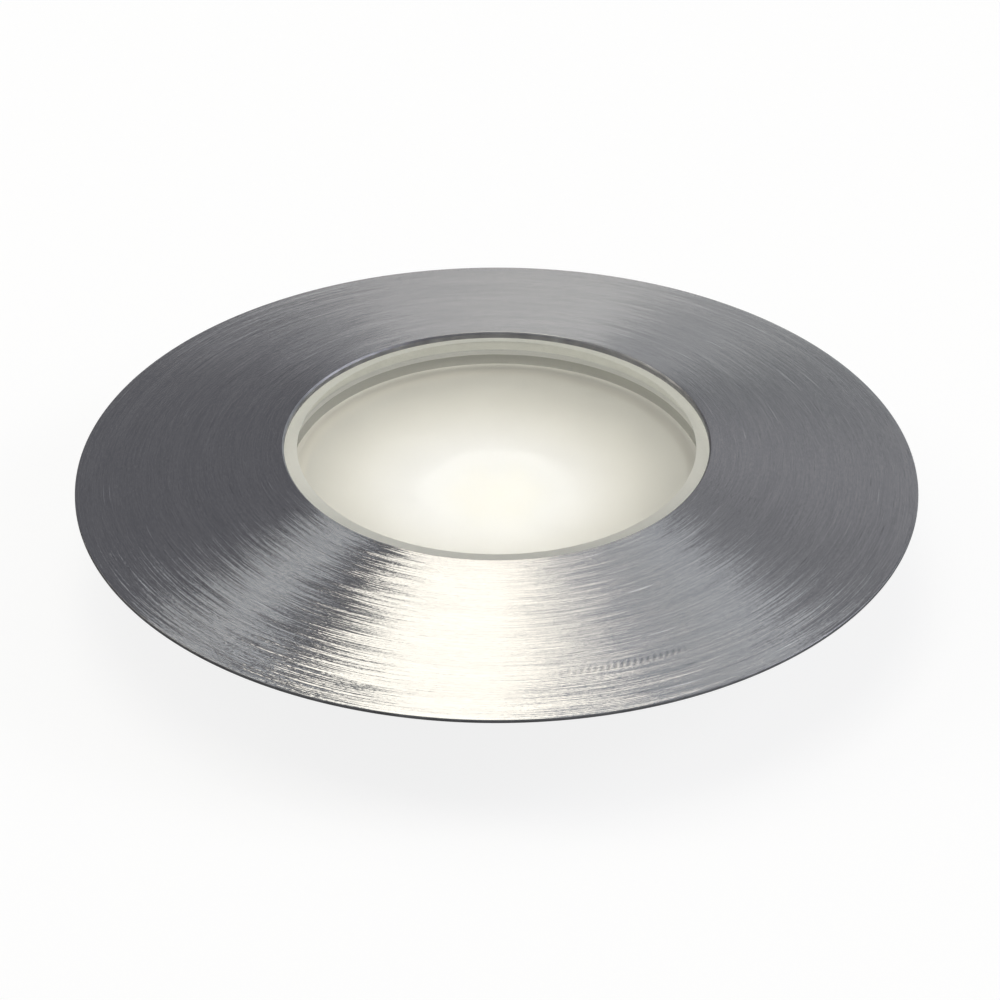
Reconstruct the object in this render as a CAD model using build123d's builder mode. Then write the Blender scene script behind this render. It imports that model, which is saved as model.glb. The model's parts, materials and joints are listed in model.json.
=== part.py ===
"""Low round walk-over lamp with a conical steel trim ring, a bevelled glass and a rechargeable pack.

The lamp drops into a round hole in a deck. Above the deck are only the trim ring and the glass in
its middle. Below the ring a moulded housing holds the light well, the battery and the control board.
Millimetres, +Z up, origin on the axis at the underside of the base. The viewer's side is -Y, and
the charging port and the power button are on the +Y side.
"""

import os
from math import atan2, cos, degrees, radians, sin, sqrt

from build123d import *

# Trim ring
rim_radius = 75.0
rim_edge = 0.6
lip_radius = 37.75
lip_chamfer = 0.3
lip_height = 9.2
sheet = 1.2
edge_break = 0.2

# Glass and its gasket
lip_overlap = 1.75
glass_thickness = 6.0
glass_arris = 0.3
bevel_width = 4.1
bevel_rise = 1.45
lens_gap = 0.12
gasket_wall = 2.0
gasket_floor = 1.0
ledge_width = 2.9

# Light well
well_depth = 1.7
diffuser_thickness = 2.0
bowl_wall = 1.0
bowl_depth = 5.0
bowl_throat = 13.0
led_board_thickness = 1.6
led_board_radius = 19.0
led_ear_length = 60.0
led_ear_width = 10.0
led_ring_radius = 6.5
led_ring_count = 6
chip_length = 3.5
chip_width = 2.8
chip_height = 0.8
spreader_thickness = 1.5
spreader_rear = 21.5

# Battery and leads
battery_length = 50.0
battery_width = 42.0
battery_thickness = 6.5
battery_corner = 3.0
battery_edge = 1.2
guard_length = 40.0
guard_width = 2.5
guard_height = 3.0
pad_thickness = 1.45
pad_margin = 3.0
lead_radius = 0.4
lead_pitch = 2.0
lead_bend = 1.0
lead_room = 3.5

# Housing
body_step = 1.0
wall = 2.0
shelf_thickness = 1.5
shelf_lap = 1.6
well_wall = 1.6
flange_thickness = 1.8
collar_wall = 2.0
gusset_width = 1.6
gusset_reach = 8.0
gusset_toe = 0.5
deck_gasket_thickness = 1.0
deck_gasket_width = 6.6

# Base cover
base_thickness = 2.0
base_chamfer = 0.8
base_recess_radius = 29.0
base_recess_depth = 0.4
spigot_height = 2.5
spigot_wall = 1.7
seal_radius = 0.65
tray_wall = 1.0
tray_height = 2.5
tray_opening = 44.0

# Fasteners
post_count = 3
post_radius = 2.4
post_inset = 2.9
base_screw_radius = 1.25
base_head_radius = 2.2
base_head_height = 1.5
base_head_sink = 0.2
trim_screw_count = 4
trim_screw_radius = 1.5
trim_head_radius = 2.8
trim_head_height = 1.4
trim_boss_radius = 3.0
trim_boss_bore = 2.2
trim_boss_gap = 1.0
small_screw_radius = 1.0
small_head_radius = 1.9
small_head_height = 1.2
led_screw_inset = 4.0
drive_radius = 1.0
drive_depth = 0.9

# Control board and what it carries
board_thickness = 1.2
board_drop = 5.9
board_front = 22.5
board_boss_angle = 50.0
board_boss_radius = 2.0
board_screw_grip = 4.0
connector_x = -12.0
connector_y = 25.5
connector_width = 6.0
connector_depth = 4.5
connector_height = 3.5
led_lead_x = 6.0
led_lead_start = 17.5
led_lead_drop = 24.8
charger_size = 5.0
charger_height = 1.0
charger_gap = 0.85
coil_x = 15.0
coil_size = 4.0
coil_height = 2.0

# Rear panel with the charging port and the power button
panel_inset = 1.9
panel_lip = 1.3
pocket_half_width = 12.5
pocket_corner = 1.5
port_x = -6.0
port_width = 8.94
port_height = 3.26
port_length = 7.35
port_corner = 1.5
port_mouth = 0.9
port_shell = 0.3
tongue_width = 6.7
tongue_height = 0.7
port_back = 1.1
plug_width = 12.0
plug_height = 6.0
plug_thickness = 1.0
plug_nub_width = 8.4
plug_nub_height = 3.0
plug_nub_length = 0.7
plug_nub_taper = 15.0
plug_hinge_drop = 0.8
hinge_pin_radius = 0.5
stem_radius = 0.6
barb_radius = 1.4
barb_length = 0.6
eye_wall = 0.5
eye_width = 1.6
button_x = 6.5
button_radius = 2.45
button_round = 0.5
button_travel = 0.8
button_proud = 0.7
button_flange_radius = 3.3
button_flange = 0.6
button_stem_radius = 1.0
button_stem = 1.4
switch_width = 6.0
switch_depth = 3.6
plunger_radius = 0.9
plunger_length = 1.2

# Spring clips
clip_count = 3
clip_width = 8.0
clip_head_width = 10.5
clip_sheet = 0.5
clip_stand_off = 1.6
clip_head_length = 3.1
clip_reach = 5.0
clip_bow_height = 8.0
clip_tip_height = 5.0
clip_curl = 0.9
clip_root_bend = 0.5
clip_neck_bend = 6.0
clip_bow_bend = 3.0

# Clearances
fit_gap = 0.2
slip_gap = 0.1
air_gap = 0.3
touch_gap = 0.05

# Cone of the trim ring, with heights above the deck
cone_radius = lip_radius + lip_chamfer
cone_slope = (lip_height - rim_edge) / (rim_radius - cone_radius)
cone_drop = sheet * sqrt(1 + cone_slope**2)


def cone_underside(radius):
    """Height of the ring's underside above the deck at a radius."""
    return lip_height - (radius - cone_radius) * cone_slope - cone_drop


def radius_under_cone(height):
    """Radius at which the ring's underside is at a height above the deck."""
    return cone_radius + (lip_height - cone_drop - height) / cone_slope


# Radii
glass_radius = lip_radius + lip_overlap
collar_inner = glass_radius + gasket_wall
collar_outer = collar_inner + collar_wall
body_radius = collar_inner + body_step
inner_radius = body_radius - wall
well_radius = glass_radius - ledge_width
drop_in_radius = well_radius - fit_gap
shelf_inner = well_radius - shelf_lap
post_circle = inner_radius - post_inset
spigot_outer = inner_radius - fit_gap
spigot_inner = spigot_outer - spigot_wall
seal_circle = inner_radius - touch_gap - seal_radius
trim_screw_circle = collar_outer + trim_boss_gap + trim_boss_radius

# Levels, from the base up to the glass and the deck
battery_top = base_thickness + battery_thickness
spreader_bottom = battery_top + pad_thickness
spreader_top = spreader_bottom + spreader_thickness
led_board_top = spreader_top + led_board_thickness
diffuser_bottom = led_board_top + bowl_depth
diffuser_top = diffuser_bottom + diffuser_thickness
ledge_top = diffuser_top + well_depth
glass_bottom = ledge_top + gasket_floor
glass_top = glass_bottom + glass_thickness
lens_edge_drop = bevel_rise * (1 - lip_overlap / bevel_width)
deck = glass_top - (cone_underside(lip_radius) - lens_gap + lens_edge_drop)
shelf_top = diffuser_bottom - bowl_wall
shelf_bottom = shelf_top - shelf_thickness
flange_bottom = deck + deck_gasket_thickness
flange_top = flange_bottom + flange_thickness
flange_radius = radius_under_cone(flange_top - deck + 2 * air_gap)
collar_top = deck + cone_underside(collar_outer) - air_gap
spigot_top = base_thickness + spigot_height
seal_level = base_thickness + spigot_height / 2
board_top = shelf_bottom - board_drop
board_bottom = board_top - board_thickness
port_z = board_top + port_height / 2

# Places on the rear panel
panel_face = body_radius - panel_inset
panel_back = panel_face - wall
panel_bottom = spigot_top + air_gap
pocket_bottom = panel_bottom + panel_lip
pocket_top = shelf_bottom + panel_lip
port_mouth_y = panel_face - port_mouth
charger_y = port_mouth_y - port_length - charger_gap - charger_size / 2
plug_face = panel_face + slip_gap
eye_radius = hinge_pin_radius + slip_gap + eye_wall
hinge_y = panel_face + air_gap + eye_radius
hinge_z = port_z - plug_height / 2 - plug_hinge_drop
eye_offset = stem_radius + air_gap + eye_wall / 2 + eye_width / 2
button_flange_y = panel_back - air_gap
stem_end = button_flange_y - button_flange - button_stem
plunger_end = stem_end - button_travel - touch_gap
board_rear = button_flange_y - button_flange - button_travel - air_gap
board_radius = inner_radius - 4 * air_gap

# Places of the battery, in the middle of the room between the spigot and the connector
connector_front = connector_y - connector_depth / 2
cell_front_limit = -sqrt((spigot_inner - air_gap) ** 2 - (battery_length / 2) ** 2)
cell_rear_limit = connector_front - lead_room - guard_width
battery_y = (cell_front_limit + cell_rear_limit) / 2
battery_rear = battery_y + battery_width / 2
guard_rear = battery_rear + guard_width

# Places on the spring clips
clip_inner = body_radius + clip_stand_off
clip_pivot = clip_inner + clip_head_length

post_angles = [-90 + 360 * index / post_count for index in range(post_count)]
clip_angles = [-90 + 360 * index / clip_count for index in range(clip_count)]
gusset_angles = [quarter * 90 + side for quarter in range(4) for side in (15, 75)]
post_places = [(post_circle * cos(radians(a)), post_circle * sin(radians(a))) for a in post_angles]
boss_x = post_circle * cos(radians(board_boss_angle))
boss_y = post_circle * sin(radians(board_boss_angle))
boss_places = [(boss_x, boss_y), (-boss_x, boss_y)]
led_screw_places = [(side * (led_ear_length / 2 - led_screw_inset), 0) for side in (-1, 1)]
battery_middle = (0, battery_y)
eye_places = [port_x - eye_offset, port_x + eye_offset]

os.makedirs("parts", exist_ok=True)


def rear_plane(y):
    """Plane across the rear panel at a y, with local x along X, local y up and extrusions inward."""
    return Plane.XZ.offset(-y)


def radial_plane(angle):
    """Upright plane through the axis, with local x outward and local y up."""
    outward = (cos(radians(angle)), sin(radians(angle)), 0)
    across = (sin(radians(angle)), -cos(radians(angle)), 0)
    return Plane(origin=(0, 0, 0), x_dir=outward, z_dir=across)


def save(builder, name):
    """Label a finished piece and write its file."""
    builder.part.label = name
    export_step(builder.part, f"parts/{name}.step")


# Trim ring, spun from sheet and turned flat at its rim
with BuildPart() as trim_ring:
    with BuildSketch(Plane.XZ):
        with BuildLine():
            Polyline(
                (rim_radius, deck),
                (rim_radius, deck + rim_edge),
                (cone_radius, deck + lip_height),
                (lip_radius, deck + lip_height - lip_chamfer),
                (lip_radius, deck + cone_underside(lip_radius)),
                (radius_under_cone(0), deck),
                close=True,
            )
        section = make_face()
        rim_corner = section.vertices().sort_by(Axis.X)[-2:].sort_by(Axis.Y)[-1]
        fillet(rim_corner, edge_break)
    revolve(axis=Axis.Z)
save(trim_ring, "trim_ring")

# Threaded bosses welded under the ring and cut to its slope
with BuildPart() as trim_bosses:
    with BuildSketch(Plane.XY.offset(flange_top)):
        with PolarLocations(trim_screw_circle, trim_screw_count, start_angle=45):
            Circle(trim_boss_radius)
    extrude(amount=lip_height)
    with BuildSketch(Plane.XZ):
        with BuildLine():
            Polyline(
                (lip_radius, flange_top),
                (radius_under_cone(flange_top - deck), flange_top),
                (lip_radius, deck + cone_underside(lip_radius)),
                close=True,
            )
        make_face()
    revolve(axis=Axis.Z, mode=Mode.INTERSECT)
    with BuildSketch(Plane.XY.offset(flange_top)):
        with PolarLocations(trim_screw_circle, trim_screw_count, start_angle=45):
            Circle(trim_screw_radius + touch_gap)
    extrude(amount=trim_boss_bore, mode=Mode.SUBTRACT)
save(trim_bosses, "trim_bosses")

# Countersunk screws that hold the ring on the housing's flange
trim_head_taper = degrees(atan2(trim_head_radius - trim_screw_radius, trim_head_height))
with BuildPart() as trim_screws:
    with BuildSketch(Plane.XY.offset(flange_bottom)):
        with PolarLocations(trim_screw_circle, trim_screw_count, start_angle=45):
            Circle(trim_head_radius)
    extrude(amount=trim_head_height, taper=trim_head_taper)
    with BuildSketch(Plane.XY.offset(flange_bottom)):
        with PolarLocations(trim_screw_circle, trim_screw_count, start_angle=45):
            Circle(trim_screw_radius)
    extrude(amount=flange_thickness + trim_boss_bore - slip_gap)
    with BuildSketch(Plane.XY.offset(flange_bottom)):
        with PolarLocations(trim_screw_circle, trim_screw_count, start_angle=45):
            RegularPolygon(drive_radius, 6)
    extrude(amount=drive_depth, mode=Mode.SUBTRACT)
save(trim_screws, "trim_screws")

# Bevelled glass
with BuildPart() as lens_glass:
    with BuildSketch(Plane.XZ):
        with BuildLine():
            Polyline(
                (0, glass_bottom),
                (glass_radius - glass_arris, glass_bottom),
                (glass_radius, glass_bottom + glass_arris),
                (glass_radius, glass_top - bevel_rise),
                (glass_radius - bevel_width, glass_top),
                (0, glass_top),
                close=True,
            )
        make_face()
    revolve(axis=Axis.Z)
save(lens_glass, "lens_glass")

# Silicone gasket round the glass, pressed between the ledge and the ring
gasket_outer = collar_inner - touch_gap
gasket_inner = glass_radius + touch_gap
with BuildPart() as lens_gasket:
    with BuildSketch(Plane.XZ):
        with BuildLine():
            Polyline(
                (well_radius, ledge_top),
                (gasket_outer, ledge_top),
                (gasket_outer, deck + cone_underside(gasket_outer) - touch_gap),
                (gasket_inner, deck + cone_underside(gasket_inner) - touch_gap),
                (gasket_inner, glass_bottom),
                (well_radius, glass_bottom),
                close=True,
            )
        make_face()
    revolve(axis=Axis.Z)
save(lens_gasket, "lens_gasket")

# Satin plate that spreads the light
with BuildPart() as diffuser_plate:
    with BuildSketch(Plane.XY.offset(diffuser_bottom)):
        Circle(drop_in_radius)
    extrude(amount=diffuser_thickness)
    chamfer(diffuser_plate.edges().group_by(Axis.Z)[-1], fit_gap)
save(diffuser_plate, "diffuser_plate")

# White bowl between the light source and the satin plate
bowl_floor = led_board_top + slip_gap
with BuildPart() as reflector_bowl:
    with BuildSketch(Plane.XZ):
        with BuildLine():
            Polyline(
                (bowl_throat, bowl_floor),
                (bowl_throat, bowl_floor + bowl_wall),
                (shelf_inner - bowl_wall, diffuser_bottom),
                (drop_in_radius, diffuser_bottom),
                (drop_in_radius, shelf_top),
                (shelf_inner - fit_gap, shelf_top),
                close=True,
            )
        make_face()
    revolve(axis=Axis.Z)
save(reflector_bowl, "reflector_bowl")

# Light board with two ears for its screws
with BuildPart() as led_board:
    with BuildSketch(Plane.XY.offset(spreader_top)):
        Circle(led_board_radius)
        SlotOverall(led_ear_length, led_ear_width)
        with Locations(*led_screw_places):
            Circle(small_screw_radius + slip_gap, mode=Mode.SUBTRACT)
    extrude(amount=led_board_thickness)
save(led_board, "led_board")

with BuildPart() as led_chips:
    with BuildSketch(Plane.XY.offset(led_board_top)):
        Rectangle(chip_length, chip_width)
        with PolarLocations(led_ring_radius, led_ring_count):
            Rectangle(chip_length, chip_width)
    extrude(amount=chip_height)
save(led_chips, "led_chips")

with BuildPart() as led_board_screws:
    with BuildSketch(Plane.XY.offset(led_board_top)):
        with Locations(*led_screw_places):
            Circle(small_head_radius)
    extrude(amount=small_head_height)
    with BuildSketch(Plane.XY.offset(led_board_top)):
        with Locations(*led_screw_places):
            Circle(small_screw_radius)
    extrude(amount=slip_gap - led_board_thickness - spreader_thickness)
    with BuildSketch(Plane.XY.offset(led_board_top + small_head_height)):
        with Locations(*led_screw_places):
            RegularPolygon(drive_radius, 6)
    extrude(amount=-drive_depth, mode=Mode.SUBTRACT)
save(led_board_screws, "led_board_screws")

# Aluminium heat spreader, clamped between the housing's pillars and the base cover's posts
with BuildPart() as heat_spreader:
    with BuildSketch(Plane.XY.offset(spreader_bottom)):
        Circle(inner_radius - 3 * air_gap)
        with Locations((0, spreader_rear)):
            Rectangle(2 * inner_radius, inner_radius, align=(Align.CENTER, Align.MIN), mode=Mode.SUBTRACT)
        with Locations(*post_places):
            Circle(base_screw_radius + slip_gap, mode=Mode.SUBTRACT)
        with Locations(*led_screw_places):
            Circle(small_screw_radius + touch_gap, mode=Mode.SUBTRACT)
    extrude(amount=spreader_thickness)
save(heat_spreader, "heat_spreader")

# Moulded housing: body wall, light well, collar round the glass and flange under the ring
with BuildPart() as housing:
    with BuildSketch(Plane.XZ):
        with BuildLine():
            Polyline(
                (body_radius, base_thickness),
                (body_radius, flange_bottom),
                (flange_radius, flange_bottom),
                (flange_radius, flange_top),
                (collar_outer, flange_top),
                (collar_outer, collar_top),
                (collar_inner, collar_top),
                (collar_inner, ledge_top),
                (well_radius, ledge_top),
                (well_radius, shelf_top),
                (shelf_inner, shelf_top),
                (shelf_inner, shelf_bottom),
                (well_radius + well_wall, shelf_bottom),
                (well_radius + well_wall, deck),
                (inner_radius, deck),
                (inner_radius, base_thickness),
                close=True,
            )
        make_face()
    revolve(axis=Axis.Z)

    # Pillars that the base screws reach, and shorter bosses for the control board
    with BuildSketch(Plane.XY.offset(spreader_top)):
        with Locations(*post_places):
            Circle(post_radius)
    extrude(amount=shelf_bottom - spreader_top)
    with BuildSketch(Plane.XY.offset(board_top)):
        with Locations(*boss_places):
            Circle(board_boss_radius)
    extrude(amount=shelf_bottom - board_top)
    with BuildSketch(Plane.XY.offset(spreader_top)):
        with Locations(*post_places):
            Circle(base_screw_radius + touch_gap)
    extrude(amount=shelf_bottom - spreader_top, mode=Mode.SUBTRACT)
    with BuildSketch(Plane.XY.offset(board_top)):
        with Locations(*boss_places):
            Circle(small_screw_radius + touch_gap)
    extrude(amount=board_screw_grip + slip_gap, mode=Mode.SUBTRACT)

    # Gussets between the collar and the flange
    for angle in gusset_angles:
        with BuildSketch(radial_plane(angle)):
            with BuildLine():
                Polyline(
                    (collar_outer - air_gap, flange_top - air_gap),
                    (collar_outer + gusset_reach, flange_top - air_gap),
                    (collar_outer + gusset_reach, flange_top + gusset_toe),
                    (collar_outer - air_gap, collar_top - gusset_toe),
                    close=True,
                )
            make_face()
        extrude(amount=gusset_width / 2, both=True)

    # Countersunk holes for the trim screws
    with BuildSketch(Plane.XY.offset(flange_bottom)):
        with PolarLocations(trim_screw_circle, trim_screw_count, start_angle=45):
            Circle(trim_head_radius + touch_gap)
    extrude(amount=trim_head_height, taper=trim_head_taper, mode=Mode.SUBTRACT)
    with BuildSketch(Plane.XY.offset(flange_bottom)):
        with PolarLocations(trim_screw_circle, trim_screw_count, start_angle=45):
            Circle(trim_screw_radius + slip_gap)
    extrude(amount=flange_thickness, mode=Mode.SUBTRACT)

    # Slots that the spring clips hang through
    for angle in clip_angles:
        with BuildSketch(radial_plane(angle)):
            with Locations((clip_inner - 2 * fit_gap, flange_bottom)):
                Rectangle(
                    clip_sheet + 4 * fit_gap,
                    flange_thickness,
                    align=(Align.MIN, Align.MIN),
                )
        extrude(amount=clip_width / 2 + air_gap, both=True, mode=Mode.SUBTRACT)

    # Flat rear panel, thickened inside and sunk into the round wall
    with BuildSketch(Plane.XY.offset(panel_bottom)):
        Circle(body_radius)
        with Locations((0, panel_back)):
            Rectangle(
                2 * (pocket_half_width + air_gap),
                body_radius,
                align=(Align.CENTER, Align.MIN),
                mode=Mode.INTERSECT,
            )
    extrude(amount=deck - panel_bottom)
    with BuildSketch(rear_plane(panel_face)):
        with Locations((0, (pocket_bottom + pocket_top) / 2)):
            RectangleRounded(2 * pocket_half_width, pocket_top - pocket_bottom, pocket_corner)
    extrude(amount=-2 * panel_inset, mode=Mode.SUBTRACT)
    with BuildSketch(rear_plane(panel_face)):
        with Locations((port_x, port_z)):
            RectangleRounded(
                port_width + 2 * fit_gap, port_height + 2 * fit_gap, port_corner + fit_gap
            )
        with Locations((button_x, port_z)):
            Circle(button_radius + air_gap)
        with Locations((port_x, hinge_z)):
            Circle(stem_radius + touch_gap)
    extrude(amount=wall, mode=Mode.SUBTRACT)
save(housing, "housing")

# Foam gasket between the flange and the deck
with BuildPart() as deck_gasket:
    with BuildSketch(Plane.XY.offset(deck)):
        Circle(flange_radius)
        Circle(flange_radius - deck_gasket_width, mode=Mode.SUBTRACT)
    extrude(amount=deck_gasket_thickness)
save(deck_gasket, "deck_gasket")

# Base cover with its spigot, battery tray and hollow screw posts
with BuildPart() as base_cover:
    with BuildSketch():
        Circle(body_radius)
    extrude(amount=base_thickness)
    chamfer(base_cover.edges().group_by(Axis.Z)[0], base_chamfer)
    with BuildSketch():
        Circle(base_recess_radius)
    extrude(amount=base_recess_depth, mode=Mode.SUBTRACT)
    with BuildSketch(Plane.XY.offset(base_thickness)):
        Circle(spigot_outer)
        Circle(spigot_inner, mode=Mode.SUBTRACT)
    extrude(amount=spigot_height)
    with BuildSketch(Plane.XY.offset(base_thickness)):
        with Locations(battery_middle):
            Rectangle(battery_length + 2 * (air_gap + tray_wall), battery_width + 2 * (air_gap + tray_wall))
            Rectangle(battery_length + 2 * air_gap, battery_width + 2 * air_gap, mode=Mode.SUBTRACT)
        with Locations((0, battery_rear)):
            Rectangle(tray_opening, 4 * tray_wall, mode=Mode.SUBTRACT)
        Circle(spigot_outer, mode=Mode.INTERSECT)
    extrude(amount=tray_height)
    with BuildSketch(Plane.XY.offset(base_thickness)):
        with Locations(*post_places):
            Circle(post_radius)
    extrude(amount=spreader_bottom - base_thickness)
    with BuildSketch(Plane.XZ):
        with Locations((seal_circle - seal_radius - touch_gap, seal_level)):
            Rectangle(
                2 * seal_radius,
                2 * (seal_radius + touch_gap),
                align=(Align.MIN, Align.CENTER),
            )
    revolve(axis=Axis.Z, mode=Mode.SUBTRACT)
    with BuildSketch():
        with Locations(*post_places):
            Circle(base_head_radius + slip_gap)
    extrude(amount=base_head_sink + base_head_height, mode=Mode.SUBTRACT)
    with BuildSketch():
        with Locations(*post_places):
            Circle(base_screw_radius + slip_gap)
    extrude(amount=spreader_bottom, mode=Mode.SUBTRACT)
save(base_cover, "base_cover")

with BuildPart() as base_seal:
    with Locations((0, 0, seal_level)):
        Torus(seal_circle, seal_radius)
save(base_seal, "base_seal")

# Long screws that clamp the base cover and the heat spreader to the housing
with BuildPart() as base_screws:
    with BuildSketch(Plane.XY.offset(base_head_sink)):
        with Locations(*post_places):
            Circle(base_head_radius)
    extrude(amount=base_head_height)
    with BuildSketch(Plane.XY.offset(base_head_sink)):
        with Locations(*post_places):
            Circle(base_screw_radius)
    extrude(amount=shelf_bottom - slip_gap - base_head_sink)
    with BuildSketch(Plane.XY.offset(base_head_sink)):
        with Locations(*post_places):
            RegularPolygon(drive_radius, 6)
    extrude(amount=drive_depth, mode=Mode.SUBTRACT)
save(base_screws, "base_screws")

# Flat pouch cell with its guard circuit along the rear edge
with BuildPart() as battery_cell:
    with BuildSketch(Plane.XY.offset(base_thickness)):
        with Locations(battery_middle):
            RectangleRounded(battery_length, battery_width, battery_corner)
    extrude(amount=battery_thickness)
    fillet(battery_cell.edges().group_by(Axis.Z)[0] + battery_cell.edges().group_by(Axis.Z)[-1], battery_edge)
    with BuildSketch(Plane.XY.offset(base_thickness + battery_edge)):
        with Locations((0, battery_rear - guard_width)):
            Rectangle(guard_length, 2 * guard_width, align=(Align.CENTER, Align.MIN))
    extrude(amount=guard_height)
save(battery_cell, "battery_cell")

with BuildPart() as battery_pad:
    with BuildSketch(Plane.XY.offset(battery_top)):
        with Locations(battery_middle):
            RectangleRounded(
                battery_length - 2 * pad_margin, battery_width - 2 * pad_margin, battery_corner
            )
    extrude(amount=pad_thickness)
save(battery_pad, "battery_pad")

# Control board behind the rear panel
with BuildPart() as control_board:
    with BuildSketch(Plane.XY.offset(board_bottom)):
        Circle(board_radius)
        with Locations((0, board_front)):
            Rectangle(
                2 * board_radius,
                board_rear - board_front,
                align=(Align.CENTER, Align.MIN),
                mode=Mode.INTERSECT,
            )
        with Locations(*boss_places):
            Circle(small_screw_radius + slip_gap, mode=Mode.SUBTRACT)
    extrude(amount=board_thickness)
save(control_board, "control_board")

with BuildPart() as board_screws:
    with BuildSketch(Plane.XY.offset(board_bottom)):
        with Locations(*boss_places):
            Circle(small_head_radius)
    extrude(amount=-small_head_height)
    with BuildSketch(Plane.XY.offset(board_bottom)):
        with Locations(*boss_places):
            Circle(small_screw_radius)
    extrude(amount=board_thickness + board_screw_grip)
    with BuildSketch(Plane.XY.offset(board_bottom - small_head_height)):
        with Locations(*boss_places):
            RegularPolygon(drive_radius, 6)
    extrude(amount=drive_depth, mode=Mode.SUBTRACT)
save(board_screws, "board_screws")

# Charging circuit and its coil on the control board
with BuildPart() as charger_parts:
    with BuildSketch(Plane.XY.offset(board_top)):
        with Locations((0, charger_y)):
            Rectangle(charger_size, charger_size)
    extrude(amount=charger_height)
    with BuildSketch(Plane.XY.offset(board_top)):
        with Locations((coil_x, charger_y)):
            RectangleRounded(coil_size, coil_size, coil_size / 8)
    extrude(amount=coil_height)
save(charger_parts, "charger_parts")

with BuildPart() as battery_connector:
    with BuildSketch(Plane.XY.offset(board_bottom)):
        with Locations((connector_x, connector_y)):
            Rectangle(connector_width, connector_depth)
    extrude(amount=-connector_height)
save(battery_connector, "battery_connector")

# Two leads from the cell's guard circuit to the connector
guard_middle = base_thickness + battery_edge + guard_height / 2
connector_middle = board_bottom - connector_height / 2
with BuildPart() as battery_leads:
    for side in (-1, 1):
        lead_x = connector_x + side * lead_pitch / 2
        with BuildLine() as battery_route:
            FilletPolyline(
                (lead_x, guard_rear, guard_middle),
                (lead_x, guard_rear + lead_bend, guard_middle),
                (lead_x, connector_front - lead_bend, connector_middle),
                (lead_x, connector_front, connector_middle),
                radius=lead_bend,
            )
        with BuildSketch(Plane(origin=battery_route.line @ 0, z_dir=battery_route.line % 0)):
            Circle(lead_radius)
        sweep(path=battery_route.line)
save(battery_leads, "battery_leads")

# Two leads from the light board over the spreader's edge to the control board
led_lead_z = led_board_top + lead_radius
with BuildPart() as led_leads:
    for side in (-1, 1):
        lead_x = led_lead_x + side * lead_pitch / 2
        with BuildLine() as led_route:
            FilletPolyline(
                (lead_x, led_lead_start, led_lead_z),
                (lead_x, led_lead_drop, led_lead_z),
                (lead_x, led_lead_drop, board_top),
                radius=lead_bend,
            )
        with BuildSketch(Plane(origin=led_route.line @ 0, z_dir=led_route.line % 0)):
            Circle(lead_radius)
        sweep(path=led_route.line)
save(led_leads, "led_leads")

# Charging socket: a rounded shell with a tongue in it
with BuildPart() as charge_socket:
    with BuildSketch(rear_plane(port_mouth_y)):
        with Locations((port_x, port_z)):
            RectangleRounded(port_width, port_height, port_corner)
    extrude(amount=port_length)
    with BuildSketch(rear_plane(port_mouth_y)):
        with Locations((port_x, port_z)):
            RectangleRounded(
                port_width - 2 * port_shell, port_height - 2 * port_shell, port_corner - port_shell
            )
    extrude(amount=port_length - port_back, mode=Mode.SUBTRACT)
    with BuildSketch(rear_plane(port_mouth_y - port_shell)):
        with Locations((port_x, port_z)):
            Rectangle(tongue_width, tongue_height)
    extrude(amount=port_length - port_back)
save(charge_socket, "charge_socket")

with BuildPart() as button_switch:
    with BuildSketch(rear_plane(plunger_end - plunger_length)):
        with Locations((button_x, port_z)):
            Rectangle(switch_width, port_height)
    extrude(amount=switch_depth)
    with BuildSketch(rear_plane(plunger_end)):
        with Locations((button_x, port_z)):
            Circle(plunger_radius)
    extrude(amount=plunger_length)
save(button_switch, "button_switch")

# Silicone power button, held behind the panel by its flange
with BuildPart() as power_button:
    with BuildSketch(rear_plane(panel_face + button_proud)):
        with Locations((button_x, port_z)):
            Circle(button_radius)
    extrude(amount=panel_face + button_proud - button_flange_y + button_flange)
    fillet(power_button.edges().filter_by(GeomType.CIRCLE).group_by(Axis.Y)[-1], button_round)
    with BuildSketch(rear_plane(button_flange_y)):
        with Locations((button_x, port_z)):
            Circle(button_flange_radius)
    extrude(amount=button_flange)
    with BuildSketch(rear_plane(button_flange_y - button_flange)):
        with Locations((button_x, port_z)):
            Circle(button_stem_radius)
    extrude(amount=button_stem)
save(power_button, "power_button")

# Barbed anchor whose crossbar carries the port plug
with BuildPart() as plug_anchor:
    with BuildSketch(rear_plane(hinge_y)):
        with Locations((port_x, hinge_z)):
            Circle(stem_radius)
    extrude(amount=hinge_y - panel_back + barb_length)
    with BuildSketch(rear_plane(panel_back)):
        with Locations((port_x, hinge_z)):
            Circle(barb_radius)
    extrude(amount=barb_length)
    with BuildSketch(Plane.YZ.offset(port_x)):
        with Locations((hinge_y, hinge_z)):
            Circle(hinge_pin_radius)
    extrude(amount=eye_offset + eye_width / 2 + fit_gap, both=True)
save(plug_anchor, "plug_anchor")

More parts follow.
